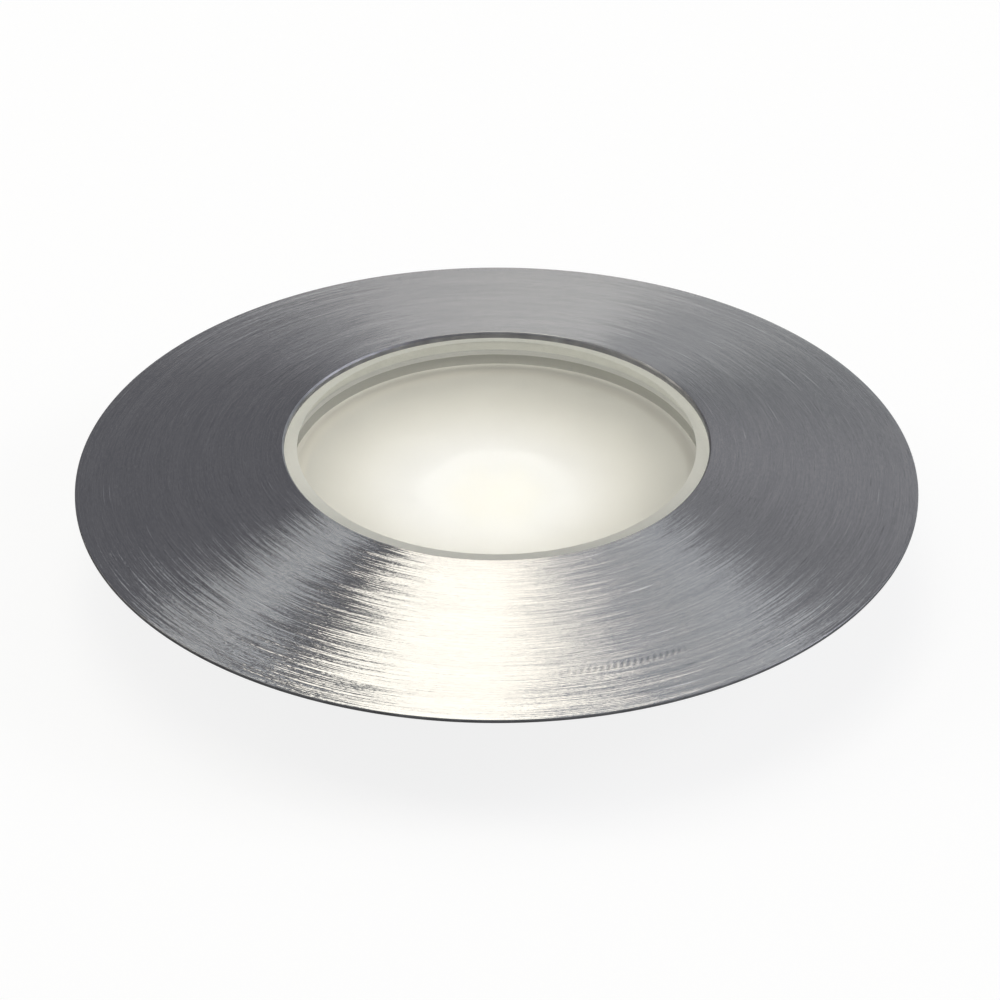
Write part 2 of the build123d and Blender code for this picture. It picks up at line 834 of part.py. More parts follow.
# Silicone port plug with two eyes that turn on the anchor's crossbar
with BuildPart() as port_plug:
    with BuildSketch(rear_plane(plug_face)):
        with Locations((port_x, port_z)):
            RectangleRounded(plug_width, plug_height, port_corner)
    extrude(amount=-plug_thickness)
    with BuildSketch(rear_plane(plug_face)):
        with Locations((port_x, port_z)):
            RectangleRounded(plug_nub_width, plug_nub_height, port_corner - fit_gap)
    extrude(amount=plug_nub_length, taper=plug_nub_taper)
    for eye_x in eye_places:
        with BuildSketch(Plane.YZ.offset(eye_x)):
            with Locations((hinge_y, hinge_z)):
                Circle(eye_radius)
            with Locations((panel_face + air_gap, hinge_z)):
                Rectangle(
                    plug_thickness - fit_gap,
                    plug_hinge_drop + slip_gap,
                    align=(Align.MIN, Align.MIN),
                )
        extrude(amount=eye_width / 2, both=True)
        with BuildSketch(Plane.YZ.offset(eye_x)):
            with Locations((hinge_y, hinge_z)):
                Circle(hinge_pin_radius + slip_gap)
        extrude(amount=eye_width, both=True, mode=Mode.SUBTRACT)
save(port_plug, "port_plug")

# Spring clips, one strip each, with a wide head that lies on the flange
for index, angle in enumerate(clip_angles):
    with BuildPart() as spring_clip:
        with BuildSketch(radial_plane(angle)):
            with BuildLine():
                FilletPolyline(
                    (clip_pivot, flange_top + clip_sheet / 2),
                    (clip_inner + clip_sheet / 2, flange_top + clip_sheet / 2),
                    (clip_inner + clip_sheet / 2, deck - clip_sheet),
                    (body_radius + clip_reach - clip_sheet / 2, clip_bow_height),
                    (body_radius + clip_reach - clip_sheet / 2 - clip_curl, clip_tip_height),
                    radius=(clip_root_bend, clip_neck_bend, clip_bow_bend),
                )
            trace(line_width=clip_sheet)
        extrude(amount=clip_width / 2, both=True)
        with BuildSketch(radial_plane(angle)):
            with Locations((clip_pivot, flange_top)):
                Rectangle(clip_head_length - clip_root_bend, clip_sheet, align=(Align.MAX, Align.MIN))
        extrude(amount=clip_head_width / 2, both=True)
    save(spring_clip, f"spring_clip_{index + 1}")

print(f"deck {deck:.3f}  lip top {deck + lip_height:.3f}  flange radius {flange_radius:.3f}")
print(f"port z {port_z:.3f}  hinge y {hinge_y:.3f} z {hinge_z:.3f}  panel face {panel_face:.3f}")
print(f"clip pivot radius {clip_pivot:.3f} height {flange_top:.3f}  body radius {body_radius:.3f}")
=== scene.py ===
"""Low round walk-over lamp: the looks of its pieces, with a pale floor, soft studio light and a camera.

Metres, +Z up. The lamp stands on z = 0 with its axis on the origin. The viewer's side is -Y, and the
charging port and the power button are on the +Y side.
"""

import json
import logging
import math
from collections.abc import Sequence
from dataclasses import dataclass
from enum import Enum
from functools import lru_cache

import bmesh
import bpy
import numpy as np
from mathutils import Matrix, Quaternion, Vector


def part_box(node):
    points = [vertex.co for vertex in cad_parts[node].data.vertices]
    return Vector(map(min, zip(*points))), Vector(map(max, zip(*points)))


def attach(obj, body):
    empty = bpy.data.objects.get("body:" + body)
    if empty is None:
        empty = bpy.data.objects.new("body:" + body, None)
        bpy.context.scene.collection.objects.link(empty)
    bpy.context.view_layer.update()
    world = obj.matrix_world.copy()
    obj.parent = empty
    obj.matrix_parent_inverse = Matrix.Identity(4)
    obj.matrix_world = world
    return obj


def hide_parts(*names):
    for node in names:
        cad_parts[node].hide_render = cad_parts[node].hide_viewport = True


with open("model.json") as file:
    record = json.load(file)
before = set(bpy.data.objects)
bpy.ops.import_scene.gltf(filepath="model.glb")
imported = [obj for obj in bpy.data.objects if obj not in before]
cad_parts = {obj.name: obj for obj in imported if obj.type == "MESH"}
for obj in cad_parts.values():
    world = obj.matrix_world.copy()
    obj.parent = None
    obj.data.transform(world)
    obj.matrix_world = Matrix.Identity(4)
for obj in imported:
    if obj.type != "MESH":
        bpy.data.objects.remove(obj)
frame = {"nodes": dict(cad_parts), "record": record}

log = logging.getLogger("lamp")

MM = 0.001
TURNS = 512
NOISE_MIDDLE = (0.3, 0.7)

Colour = tuple[float, float, float]
Lines = tuple[float, float, float]
Socket = bpy.types.NodeSocket
Material = bpy.types.Material
Piece = bpy.types.Object

BODY_OF = {
    node: body
    for body, nodes in frame["record"]["behaviour"]["bodies"].items()
    for node in nodes
}


class Shading(Enum):
    """How a surface's normals run across its edges."""

    TURNED = math.radians(24)
    MOULDED = math.radians(38)


# Node trees


class Graph:
    """Places nodes in one node tree, so that a finish reads as a short list of steps."""

    def __init__(self, tree: bpy.types.NodeTree) -> None:
        """Keeps the tree that the nodes go into."""
        self.tree = tree

    def put(self, kind: str, **settings: object) -> bpy.types.Node:
        """Adds one node and sets its options.

        Args:
            kind: Blender's name of the node type.
            settings: The node's own options by name.

        Returns:
            The new node.
        """
        node = self.tree.nodes.new(kind)
        for name, value in settings.items():
            setattr(node, name, value)
        return node

    def feed(self, socket: Socket, value: object) -> None:
        """Links a socket to another one, or sets it where value is a plain number or colour."""
        if isinstance(value, bpy.types.NodeSocket):
            self.tree.links.new(value, socket)
        elif isinstance(value, tuple) and socket.type == "RGBA":
            socket.default_value = (*value, 1.0)
        else:
            socket.default_value = value

    def math(self, operation: str, *values: object, clamp: bool = False) -> Socket:
        """One step of arithmetic on numbers."""
        node = self.put("ShaderNodeMath", operation=operation, use_clamp=clamp)
        for socket, value in zip(node.inputs, values):
            self.feed(socket, value)
        return node.outputs[0]

    def vector(self, operation: str, *values: object) -> Socket:
        """One step of arithmetic on vectors, where SCALE takes a vector and a number."""
        node = self.put("ShaderNodeVectorMath", operation=operation)
        sockets = [node.inputs[0], node.inputs["Scale"]] if operation == "SCALE" else node.inputs
        for socket, value in zip(sockets, values):
            self.feed(socket, value)
        return node.outputs["Value" if operation in ("LENGTH", "DOT_PRODUCT") else "Vector"]

    def parts(self, vector: Socket) -> tuple[Socket, Socket, Socket]:
        """The x, y and z of a vector."""
        node = self.put("ShaderNodeSeparateXYZ")
        self.feed(node.inputs[0], vector)
        return node.outputs[0], node.outputs[1], node.outputs[2]

    def join(self, x: object, y: object, z: object) -> Socket:
        """A vector from its x, y and z."""
        node = self.put("ShaderNodeCombineXYZ")
        for socket, value in zip(node.inputs, (x, y, z)):
            self.feed(socket, value)
        return node.outputs[0]

    def noise(self, vector: Socket, scale: float, detail: float = 2.0, rough: float = 0.5) -> Socket:
        """Smooth random values from 0 to 1."""
        node = self.put("ShaderNodeTexNoise")
        self.feed(node.inputs["Vector"], vector)
        self.feed(node.inputs["Scale"], scale)
        self.feed(node.inputs["Detail"], detail)
        self.feed(node.inputs["Roughness"], rough)
        return node.outputs[0]

    def cells(self, vector: Socket, scale: float, feature: str = "F1") -> Socket:
        """Distance to the nearest of many scattered points, for pores and pebbles."""
        node = self.put("ShaderNodeTexVoronoi", feature=feature)
        self.feed(node.inputs["Vector"], vector)
        self.feed(node.inputs["Scale"], scale)
        return node.outputs["Distance"]

    def remap(
        self, value: object, low: float, high: float, to_low: object = 0.0, to_high: object = 1.0
    ) -> Socket:
        """Value carried smoothly from one range to another and held at its ends."""
        node = self.put("ShaderNodeMapRange", interpolation_type="SMOOTHSTEP")
        for socket, number in zip(node.inputs, (value, low, high, to_low, to_high)):
            self.feed(socket, number)
        return node.outputs[0]

    def spread(self, noise: Socket, to_low: object = 0.0, to_high: object = 1.0) -> Socket:
        """The middle of a noise, where most of its values lie, carried to a whole range."""
        return self.remap(noise, *NOISE_MIDDLE, to_low, to_high)

    def radius(self, place: Socket) -> Socket:
        """The distance of a place from the Z axis."""
        return self.vector("LENGTH", self.vector("MULTIPLY", place, (1.0, 1.0, 0.0)))

    def mix(self, factor: object, first: object, second: object) -> Socket:
        """A colour between two colours."""
        node = self.put("ShaderNodeMix", data_type="RGBA")
        for socket, value in zip((node.inputs[0], node.inputs[6], node.inputs[7]), (factor, first, second)):
            self.feed(socket, value)
        return node.outputs[2]

    def bump(self, height: Socket, distance: float, under: object = None) -> Socket:
        """A normal that leans as a height map does, over another normal where one is given."""
        node = self.put("ShaderNodeBump")
        self.feed(node.inputs["Strength"], 1.0)
        self.feed(node.inputs["Distance"], distance)
        self.feed(node.inputs["Height"], height)
        if under is not None:
            self.feed(node.inputs["Normal"], under)
        return node.outputs[0]

    def effect(self, group: bpy.types.NodeTree, **values: object) -> bpy.types.Node:
        """Places a shared effect and gives it this finish's values."""
        node = self.put("ShaderNodeGroup", node_tree=group)
        for name, value in values.items():
            self.feed(node.inputs[name], value)
        return node


class Surface:
    """A shader's inputs by name, which a socket is linked to and a plain value sets."""

    def __init__(self, graph: Graph, node: bpy.types.Node) -> None:
        """Keeps the graph and its shader."""
        self.graph = graph
        self.node = node

    def __setitem__(self, name: str, value: object) -> None:
        """Feeds one input."""
        self.graph.feed(self.node.inputs[name], value)


def shade(colour: Colour, share: float) -> Colour:
    """A colour at a share of its brightness."""
    return tuple(share * c for c in colour)


def new_effect(
    name: str, inputs: dict[str, object], outputs: Sequence[str]
) -> tuple[bpy.types.NodeTree, Graph, bpy.types.Node, bpy.types.Node]:
    """Starts a shared effect whose sockets carry numbers, apart from its Vector and its Normal.

    Args:
        name: The effect's name.
        inputs: Each input's name and its first value. Vector takes None.
        outputs: The names of what it puts out.

    Returns:
        The group, a graph that fills it, and its input and output nodes.
    """
    group = bpy.data.node_groups.new(name, "ShaderNodeTree")
    for label, value in inputs.items():
        kind = "NodeSocketVector" if value is None else "NodeSocketFloat"
        socket = group.interface.new_socket(label, in_out="INPUT", socket_type=kind)
        if value is not None:
            socket.default_value = value
    for label in outputs:
        kind = "NodeSocketVector" if label == "Normal" else "NodeSocketFloat"
        group.interface.new_socket(label, in_out="OUTPUT", socket_type=kind)
    graph = Graph(group)
    return group, graph, graph.put("NodeGroupInput"), graph.put("NodeGroupOutput")


@lru_cache
def turned_lines() -> bpy.types.NodeTree:
    """Fine lines round the Z axis, as a brush or a turning tool leaves them.

    The noise is read at (cos a * Around, sin a * Around, r * Across) for the angle a and the radius r,
    so that it closes on itself round the piece and a line is many times longer than it is wide.
    """
    group, graph, given, out = new_effect(
        "turned_lines", {"Vector": None, "Around": 12.0, "Across": 3000.0, "Detail": 2.0}, ("Line",)
    )
    flat = graph.vector("MULTIPLY", given.outputs["Vector"], (1.0, 1.0, 0.0))
    radius = graph.vector("LENGTH", flat)
    heading = graph.vector("SCALE", graph.vector("NORMALIZE", flat), given.outputs["Around"])
    across = graph.math("MULTIPLY", radius, given.outputs["Across"])
    place = graph.vector("ADD", heading, graph.join(0.0, 0.0, across))
    graph.feed(out.inputs["Line"], graph.noise(place, 1.0, given.outputs["Detail"], 0.6))
    return group


def brushed(graph: Graph, place: Socket, lines: Lines) -> Socket:
    """Turned lines at a place, where lines holds their Around, Across and Detail."""
    around, across, detail = lines
    effect = graph.effect(turned_lines(), Vector=place, Around=around, Across=across, Detail=detail)
    return effect.outputs[0]


SHORT_FACETS = (110.0, 5600.0, 1.0)
LONG_FACETS = (4.0, 6000.0, 2.0)


@lru_cache
def turned_facets() -> bpy.types.NodeTree:
    """Normals of the small facets between brush marks, tipped along the brushing.

    The tip is Grain and Streak times two centred noises, one of short facets and one of long ones, and
    it grows by Outer towards the rim, where the brush runs fastest.
    """
    given_sockets = {"Vector": None, "Grain": 0.1, "Streak": 0.1, "Outer": 0.9, "Rim": 0.072}
    group, graph, given, out = new_effect("turned_facets", given_sockets, ("Normal",))
    place = given.outputs["Vector"]
    short = brushed(graph, place, SHORT_FACETS)
    long = brushed(graph, place, LONG_FACETS)
    tip = graph.math("MULTIPLY", graph.math("SUBTRACT", short, 0.5), given.outputs["Grain"])
    tip = graph.math("MULTIPLY_ADD", graph.math("SUBTRACT", long, 0.5), given.outputs["Streak"], tip)
    radius = graph.radius(place)
    start = graph.math("MULTIPLY", given.outputs["Rim"], 0.82)
    outer = graph.remap(radius, start, given.outputs["Rim"])
    tip = graph.math("MULTIPLY", tip, graph.math("MULTIPLY_ADD", outer, given.outputs["Outer"], 1.0))
    x, y, _ = graph.parts(place)
    along = graph.vector("NORMALIZE", graph.join(graph.math("MULTIPLY", y, -1.0), x, 0.0))
    shape = graph.put("ShaderNodeNewGeometry").outputs["Normal"]
    tipped = graph.vector("ADD", shape, graph.vector("SCALE", along, tip))
    graph.feed(out.inputs["Normal"], graph.vector("NORMALIZE", tipped))
    return group


@lru_cache
def tool_chatter() -> bpy.types.NodeTree:
    """Short cross strokes that a trembling tool leaves along a part of one circle.

    The mark is 0.5 + 0.5 sin(Count * a + Slant * r) for the angle a and the radius r, inside a soft band
    at Radius and between From and To, where a is measured from +X.
    """
    sockets = {"Vector": None, "Radius": 0.065, "Width": 0.0009, "From": -1.5, "To": -1.0}
    sockets |= {"Count": 340.0, "Slant": 2600.0}
    group, graph, given, out = new_effect("tool_chatter", sockets, ("Mark",))
    x, y, _ = graph.parts(given.outputs["Vector"])
    angle = graph.math("ARCTAN2", y, x)
    radius = graph.vector("LENGTH", graph.join(x, y, 0.0))
    off = graph.math("ABSOLUTE", graph.math("SUBTRACT", radius, given.outputs["Radius"]))
    band = graph.remap(graph.math("DIVIDE", off, given.outputs["Width"]), 0.4, 1.0, 1.0, 0.0)
    start = graph.remap(graph.math("SUBTRACT", angle, given.outputs["From"]), 0.0, 0.25)
    end = graph.remap(graph.math("SUBTRACT", given.outputs["To"], angle), 0.0, 0.1)
    phase = graph.math("MULTIPLY", angle, given.outputs["Count"])
    phase = graph.math("MULTIPLY_ADD", radius, given.outputs["Slant"], phase)
    wave = graph.math("MULTIPLY_ADD", graph.math("SINE", phase), 0.5, 0.5)
    reach = graph.math("MULTIPLY", band, graph.math("MULTIPLY", start, end))
    graph.feed(out.inputs["Mark"], graph.math("MULTIPLY", reach, wave))
    return group


@lru_cache
def moulded_grain() -> bpy.types.NodeTree:
    """Spark-eroded grain of moulded plastic: small pebbles over a faint unevenness."""
    group, graph, given, out = new_effect(
        "moulded_grain", {"Vector": None, "Grain": 3000.0}, ("Height", "Tone")
    )
    pebbles = graph.cells(given.outputs["Vector"], given.outputs["Grain"], "SMOOTH_F1")
    cloud = graph.noise(given.outputs["Vector"], graph.math("MULTIPLY", given.outputs["Grain"], 0.03), 4.0)
    height = graph.math("MULTIPLY_ADD", cloud, 0.35, graph.math("MULTIPLY", pebbles, 0.65))
    graph.feed(out.inputs["Height"], height)
    graph.feed(out.inputs["Tone"], cloud)
    return group


@lru_cache
def rubbed_edges() -> bpy.types.NodeTree:
    """Mask of the edges that handling has rubbed, broken up by a noise."""
    group, graph, given, out = new_effect(
        "rubbed_edges", {"Vector": None, "Width": 0.0004, "Breaks": 400.0}, ("Mask",)
    )
    rounded = graph.put("ShaderNodeBevel", samples=4)
    graph.feed(rounded.inputs["Radius"], given.outputs["Width"])
    shape = graph.put("ShaderNodeNewGeometry")
    lean = graph.vector("DOT_PRODUCT", rounded.outputs[0], shape.outputs["Normal"])
    edge = graph.remap(graph.math("SUBTRACT", 1.0, lean), 0.02, 0.22)
    breaks = graph.remap(graph.noise(given.outputs["Vector"], given.outputs["Breaks"], 4.0), 0.35, 0.65)
    graph.feed(out.inputs["Mask"], graph.math("MULTIPLY", edge, breaks))
    return group


@lru_cache
def settled_dust() -> bpy.types.NodeTree:
    """Mask of the fine dust that lies on faces that look upwards."""
    group, graph, given, out = new_effect("settled_dust", {"Vector": None, "Amount": 0.3}, ("Mask",))
    shape = graph.put("ShaderNodeNewGeometry")
    upward = graph.remap(graph.parts(shape.outputs["Normal"])[2], 0.2, 0.95)
    specks = graph.noise(given.outputs["Vector"], 900.0, 6.0, 0.7)
    drift = graph.remap(specks, 0.42, 0.72)
    lying = graph.math("MULTIPLY", upward, drift)
    graph.feed(out.inputs["Mask"], graph.math("MULTIPLY", lying, given.outputs["Amount"]))
    return group


# Finishes


@dataclass(frozen=True)
class Finish:
    """What every finish starts from: a material with one Principled shader and object coordinates."""

    name: str
    relief: float = 0.01 * MM

    def make(self) -> Material:
        """The finished material, made once."""
        material = bpy.data.materials.get(self.name)
        if material is None:
            material = bpy.data.materials.new(self.name)
            material.use_nodes = True
            graph = Graph(material.node_tree)
            shader = Surface(graph, material.node_tree.nodes["Principled BSDF"])
            self.paint(graph, shader, graph.put("ShaderNodeTexCoord").outputs["Object"])
        return material

    def paint(self, graph: Graph, shader: Surface, place: Socket) -> None:
        """Builds the nodes that feed the shader, from the object coordinates."""
        raise NotImplementedError


@dataclass(frozen=True)
class TurnedSteel(Finish):
    """Stainless steel brushed in circles, in which lights spread across the brushing."""

    light: Colour = (0.65, 0.645, 0.64)
    dark: Colour = (0.525, 0.525, 0.53)
    pit: Colour = (0.36, 0.36, 0.365)
    glint_scratch: Colour = (0.86, 0.86, 0.85)
    roughness: float = 0.2
    facet: float = 0.08
    streak: float = 0.21
    relief: float = 0.006 * MM
    short_lines: Lines = (50.0, 4800.0, 2.0)
    long_lines: Lines = (6.0, 3800.0, 3.0)
    bands: Lines = (1.6, 420.0, 4.0)
    cuts: Lines = (11.0, 4700.0, 1.0)
    glint_scores: Lines = (5.0, 4600.0, 0.0)
    chatter: float = 0.55

    def paint(self, graph: Graph, shader: Surface, place: Socket) -> None:
        """Brush lines of two lengths, broad bands, dark cuts, bright scratches lightened as painted glints,
        chatter and facets.
        """
        short = brushed(graph, place, self.short_lines)
        long = brushed(graph, place, self.long_lines)
        bands = brushed(graph, place, self.bands)
        cuts = brushed(graph, place, self.cuts)
        lines = graph.math("MULTIPLY_ADD", short, 0.5, graph.math("MULTIPLY", long, 0.5))
        tone = graph.remap(graph.math("MULTIPLY_ADD", bands, 0.25, lines), 0.45, 0.8)
        steel = graph.mix(tone, self.dark, self.light)
        steel = graph.mix(graph.remap(cuts, 0.66, 0.86), steel, self.pit)
        # Sparse bright scratches: their lighter steel is painted glint.
        glint_scores = brushed(graph, place, self.glint_scores)
        steel = graph.mix(graph.remap(glint_scores, 0.78, 0.88), steel, self.glint_scratch)
        chatter = graph.effect(tool_chatter(), Vector=place).outputs[0]
        steel = graph.mix(graph.math("MULTIPLY", chatter, self.chatter), steel, self.pit)
        shader["Base Color"] = steel
        shader["Metallic"] = 1.0
        rough = graph.spread(lines, self.roughness - 0.02, self.roughness + 0.02)
        shader["Roughness"] = rough
        shader["Anisotropic"] = 1.0
        shader["Anisotropic Rotation"] = 0.25
        tangent = graph.put("ShaderNodeTangent", direction_type="RADIAL", axis="Z")
        shader["Tangent"] = tangent.outputs[0]
        facets = graph.effect(turned_facets(), Vector=place, Grain=self.facet, Streak=self.streak)
        height = graph.math("SUBTRACT", lines, chatter)
        shader["Normal"] = graph.bump(height, self.relief, facets.outputs[0])


@dataclass(frozen=True)
class ShadeDarkenedSteel(Finish):
    """The turned edge's steel with its tool lines, darkened as painted shade on the faces that don't look
    upwards.
    """

    light: Colour = (0.40, 0.40, 0.42)
    dark: Colour = (0.22, 0.22, 0.235)
    roughness: float = 0.42
    relief: float = 0.012 * MM
    tool_lines: Lines = (6.0, 2600.0, 2.0)

    def paint(self, graph: Graph, shader: Surface, place: Socket) -> None:
        """Tool lines round the edge over a slightly uneven steel whose darkness is painted shade."""
        lines = brushed(graph, place, self.tool_lines)
        height = graph.math("MULTIPLY", graph.parts(place)[2], 9000.0)
        ridges = graph.noise(graph.join(0.0, 0.0, height), 1.0, 1.0)
        cloud = graph.noise(place, 300.0, 3.0)
        tone = graph.math("MULTIPLY_ADD", ridges, 0.5, graph.math("MULTIPLY", cloud, 0.5))
        shader["Base Color"] = graph.mix(graph.spread(tone), self.dark, self.light)
        shader["Metallic"] = 1.0
        rough = graph.spread(lines, self.roughness - 0.05, self.roughness + 0.08)
        shader["Roughness"] = rough
        shader["Normal"] = graph.bump(ridges, self.relief)


@dataclass(frozen=True)
class DrawnSteel(Finish):
    """Steel with straight lines along its length, for strip, shell and screw."""

    light: Colour = (0.62, 0.62, 0.62)
    dark: Colour = (0.42, 0.42, 0.43)
    roughness: float = 0.32
    stretch: tuple[float, float, float] = (400.0, 6000.0, 400.0)
    turn: float = 0.0

    def paint(self, graph: Graph, shader: Surface, place: Socket) -> None:
        """Lines and rubbed edges over steel, turned to the piece's own direction."""
        turned = graph.put("ShaderNodeMapping", vector_type="TEXTURE")
        turned.inputs["Rotation"].default_value = (0.0, 0.0, self.turn)
        graph.feed(turned.inputs["Vector"], place)
        stretched = graph.vector("MULTIPLY", turned.outputs[0], self.stretch)
        lines = graph.noise(stretched, 1.0, 3.0, 0.6)
        edges = graph.effect(rubbed_edges(), Vector=place, Width=0.00025, Breaks=900.0).outputs[0]
        tone = graph.mix(graph.spread(lines), self.dark, self.light)
        shader["Base Color"] = graph.mix(edges, tone, (0.8, 0.8, 0.79))
        shader["Metallic"] = 1.0
        rough = graph.spread(lines, self.roughness - 0.06, self.roughness + 0.08)
        shader["Roughness"] = rough
        shader["Normal"] = graph.bump(lines, self.relief)


@dataclass(frozen=True)
class BevelledGlass(Finish):
    """Clear glass whose bevel is ground, with a painted glow on the bevel for the light inside the glass.
    """

    tint: Colour = (0.975, 0.98, 0.968)
    bevel_inner: float = 35.4 * MM
    bevel_height: float = 0.0
    ground: Colour = (0.52, 0.52, 0.505)
    glow: Colour = (0.255, 0.255, 0.23)
    relief: float = 0.012 * MM
    wheel_lines: Lines = (60.0, 6000.0, 2.0)

    def paint(self, graph: Graph, shader: Surface, place: Socket) -> None:
        """Polished inside the bevel's inner edge, ground outside it, with specks of dust."""
        radius = graph.radius(place)
        edge = self.bevel_inner
        ring = graph.remap(radius, edge - 0.02 * MM, edge + 0.05 * MM)
        upper = graph.remap(graph.parts(place)[2], self.bevel_height, self.bevel_height + 0.1 * MM)
        ground = graph.math("MULTIPLY", ring, upper)
        wheel = brushed(graph, place, self.wheel_lines)
        mottle = graph.noise(place, 1500.0, 3.0)
        dust = graph.effect(settled_dust(), Vector=place, Amount=0.05).outputs[0]
        shader["Base Color"] = graph.mix(ground, self.tint, self.ground)
        shader["Transmission Weight"] = 1.0
        shader["IOR"] = 1.5
        frosted = graph.spread(mottle, 0.34, 0.46)
        clear = graph.math("MULTIPLY_ADD", dust, 0.5, 0.015)
        shader["Roughness"] = graph.remap(ground, 0.0, 1.0, clear, frosted)
        # Painted glow on the ground bevel, a little uneven along the wheel lines.
        glow = graph.mix(graph.remap(wheel, 0.2, 0.8), shade(self.glow, 0.85), self.glow)
        shader["Emission Color"] = graph.mix(ground, (0.0, 0.0, 0.0), glow)
        shader["Emission Strength"] = 1.0
        height = graph.math("MULTIPLY", wheel, ground)
        shader["Normal"] = graph.bump(height, self.relief)


@dataclass(frozen=True)
class SatinPlate(Finish):
    """Satin plate that softens what glows under it."""

    colour: Colour = (0.86, 0.85, 0.82)
    glow: Colour = (0.085, 0.084, 0.077)
    roughness: float = 0.55

    def paint(self, graph: Graph, shader: Surface, place: Socket) -> None:
        """Rough transmission with a fine etched surface and a painted glow for the light scattered in the
        plate.
        """
        etch = graph.noise(place, 2400.0, 3.0)
        cloud = graph.noise(place, 160.0, 3.0)
        pale = shade(self.colour, 0.96)
        shader["Base Color"] = graph.mix(graph.spread(cloud), pale, self.colour)
        shader["Transmission Weight"] = 1.0
        shader["IOR"] = 1.4
        # Painted glow in the plate, a little uneven with the cloud.
        dim = shade(self.glow, 0.96)
        shader["Emission Color"] = graph.mix(cloud, dim, self.glow)
        shader["Emission Strength"] = 1.0
        spread = graph.spread(etch, self.roughness - 0.03, self.roughness + 0.03)
        shader["Roughness"] = spread
        shader["Normal"] = graph.bump(etch, self.relief)


@dataclass(frozen=True)
class LitWhite(Finish):
    """White surface under the satin plate, with a painted glow that is brightest round the emitters."""

    colour: Colour = (0.80, 0.79, 0.76)
    glow: Colour = (1.0, 0.965, 0.87)
    hot: Colour = (0.98, 0.985, 1.05)
    core: float = 1.03
    width: float = 28.6 * MM
    centre: tuple[float, float, float] = (-1.8 * MM, 0.0, 0.0)
    roughness: float = 0.4

    def paint(self, graph: Graph, shader: Surface, place: Socket) -> None:
        """White with a painted glow of core * exp(-(r / width) ** 4) at the distance r from the centre."""
        away = graph.vector("SUBTRACT", place, self.centre)
        radius = graph.radius(away)
        share = graph.math("POWER", graph.math("DIVIDE", radius, self.width), 4.0)
        falling = graph.math("EXPONENT", graph.math("MULTIPLY", share, -1.0))
        level = graph.math("MULTIPLY", falling, self.core)
        grain = graph.effect(moulded_grain(), Vector=place, Grain=2500.0)
        pale = shade(self.colour, 0.94)
        shader["Base Color"] = graph.mix(grain.outputs["Tone"], pale, self.colour)
        shader["Roughness"] = self.roughness
        tone = graph.mix(graph.math("POWER", falling, 3.0), self.glow, self.hot)
        shader["Emission Color"] = graph.vector("SCALE", tone, level)
        shader["Emission Strength"] = 1.0
        shader["Normal"] = graph.bump(grain.outputs["Height"], self.relief)


@dataclass(frozen=True)
class Phosphor(Finish):
    """Warm white emitter in its yellow resin."""

    glow: Colour = (0.96, 0.975, 1.06)
    relief: float = 0.02 * MM

    def paint(self, graph: Graph, shader: Surface, place: Socket) -> None:
        """Grainy yellow resin that shines."""
        grains = graph.cells(place, 5000.0)
        resin = graph.mix(graph.remap(grains, 0.1, 0.7), (0.95, 0.78, 0.34), (0.93, 0.86, 0.5))
        shader["Base Color"] = resin
        shader["Roughness"] = 0.35
        dim = shade(self.glow, 0.9)
        shader["Emission Color"] = graph.mix(graph.remap(grains, 0.1, 0.7), dim, self.glow)
        shader["Emission Strength"] = 1.0
        shader["Normal"] = graph.bump(grains, self.relief)


@dataclass(frozen=True)
class MilkySilicone(Finish):
    """Milky, nearly clear silicone."""

    colour: Colour = (0.86, 0.86, 0.82)
    glow: Colour = (0.17, 0.167, 0.15)
    relief: float = 0.02 * MM
    ribs: Lines = (2.0, 1800.0, 2.0)

    def paint(self, graph: Graph, shader: Surface, place: Socket) -> None:
        """Smooth, slightly cloudy silicone with a painted glow for a little of the light inside it."""
        cloud = graph.noise(place, 350.0, 3.0)
        ribs = brushed(graph, place, self.ribs)
        pale = shade(self.colour, 0.9)
        shader["Base Color"] = graph.mix(cloud, pale, self.colour)
        shader["Roughness"] = graph.spread(cloud, 0.32, 0.45)
        shader["Transmission Weight"] = 0.35
        shader["IOR"] = 1.41
        # Painted glow in the silicone, which brightens the gasket's wall.
        dim = shade(self.glow, 0.85)
        shader["Emission Color"] = graph.mix(cloud, dim, self.glow)
        shader["Emission Strength"] = 1.0
        shader["Normal"] = graph.bump(ribs, self.relief)


@dataclass(frozen=True)
class MouldedPlastic(Finish):
    """Spark-eroded moulded plastic with rubbed edges and a little dust."""

    colour: Colour = (0.045, 0.046, 0.05)
    rubbed: Colour = (0.16, 0.16, 0.165)
    roughness: float = 0.5
    grain: float = 2600.0
    relief: float = 0.03 * MM
    dust: float = 0.25
    lining: Colour | None = None
    lining_radius: float = 36.9 * MM
    lining_bottom: float = 15.0 * MM

    def paint(self, graph: Graph, shader: Surface, place: Socket) -> None:
        """Grain, edges and dust over the plastic, and a painted lining in the light well if it has one."""
        grain = graph.effect(moulded_grain(), Vector=place, Grain=self.grain)
        edges = graph.effect(rubbed_edges(), Vector=place).outputs[0]
        dust = graph.effect(settled_dust(), Vector=place, Amount=self.dust).outputs[0]
        deep = shade(self.colour, 0.8)
        body = graph.mix(graph.spread(grain.outputs["Tone"]), deep, self.colour)
        body = graph.mix(edges, body, self.rubbed)
        body = graph.mix(dust, body, (0.42, 0.40, 0.37))
        if self.lining is not None:
            radius = graph.radius(place)
            inside = graph.math("LESS_THAN", radius, self.lining_radius)
            above = graph.math("GREATER_THAN", graph.parts(place)[2], self.lining_bottom)
            body = graph.mix(graph.math("MULTIPLY", inside, above), body, self.lining)
        shader["Base Color"] = body
        rough = graph.spread(grain.outputs["Tone"], self.roughness - 0.05, self.roughness + 0.07)
        shader["Roughness"] = graph.math("MAXIMUM", rough, dust)
        shader["Normal"] = graph.bump(grain.outputs["Height"], self.relief)


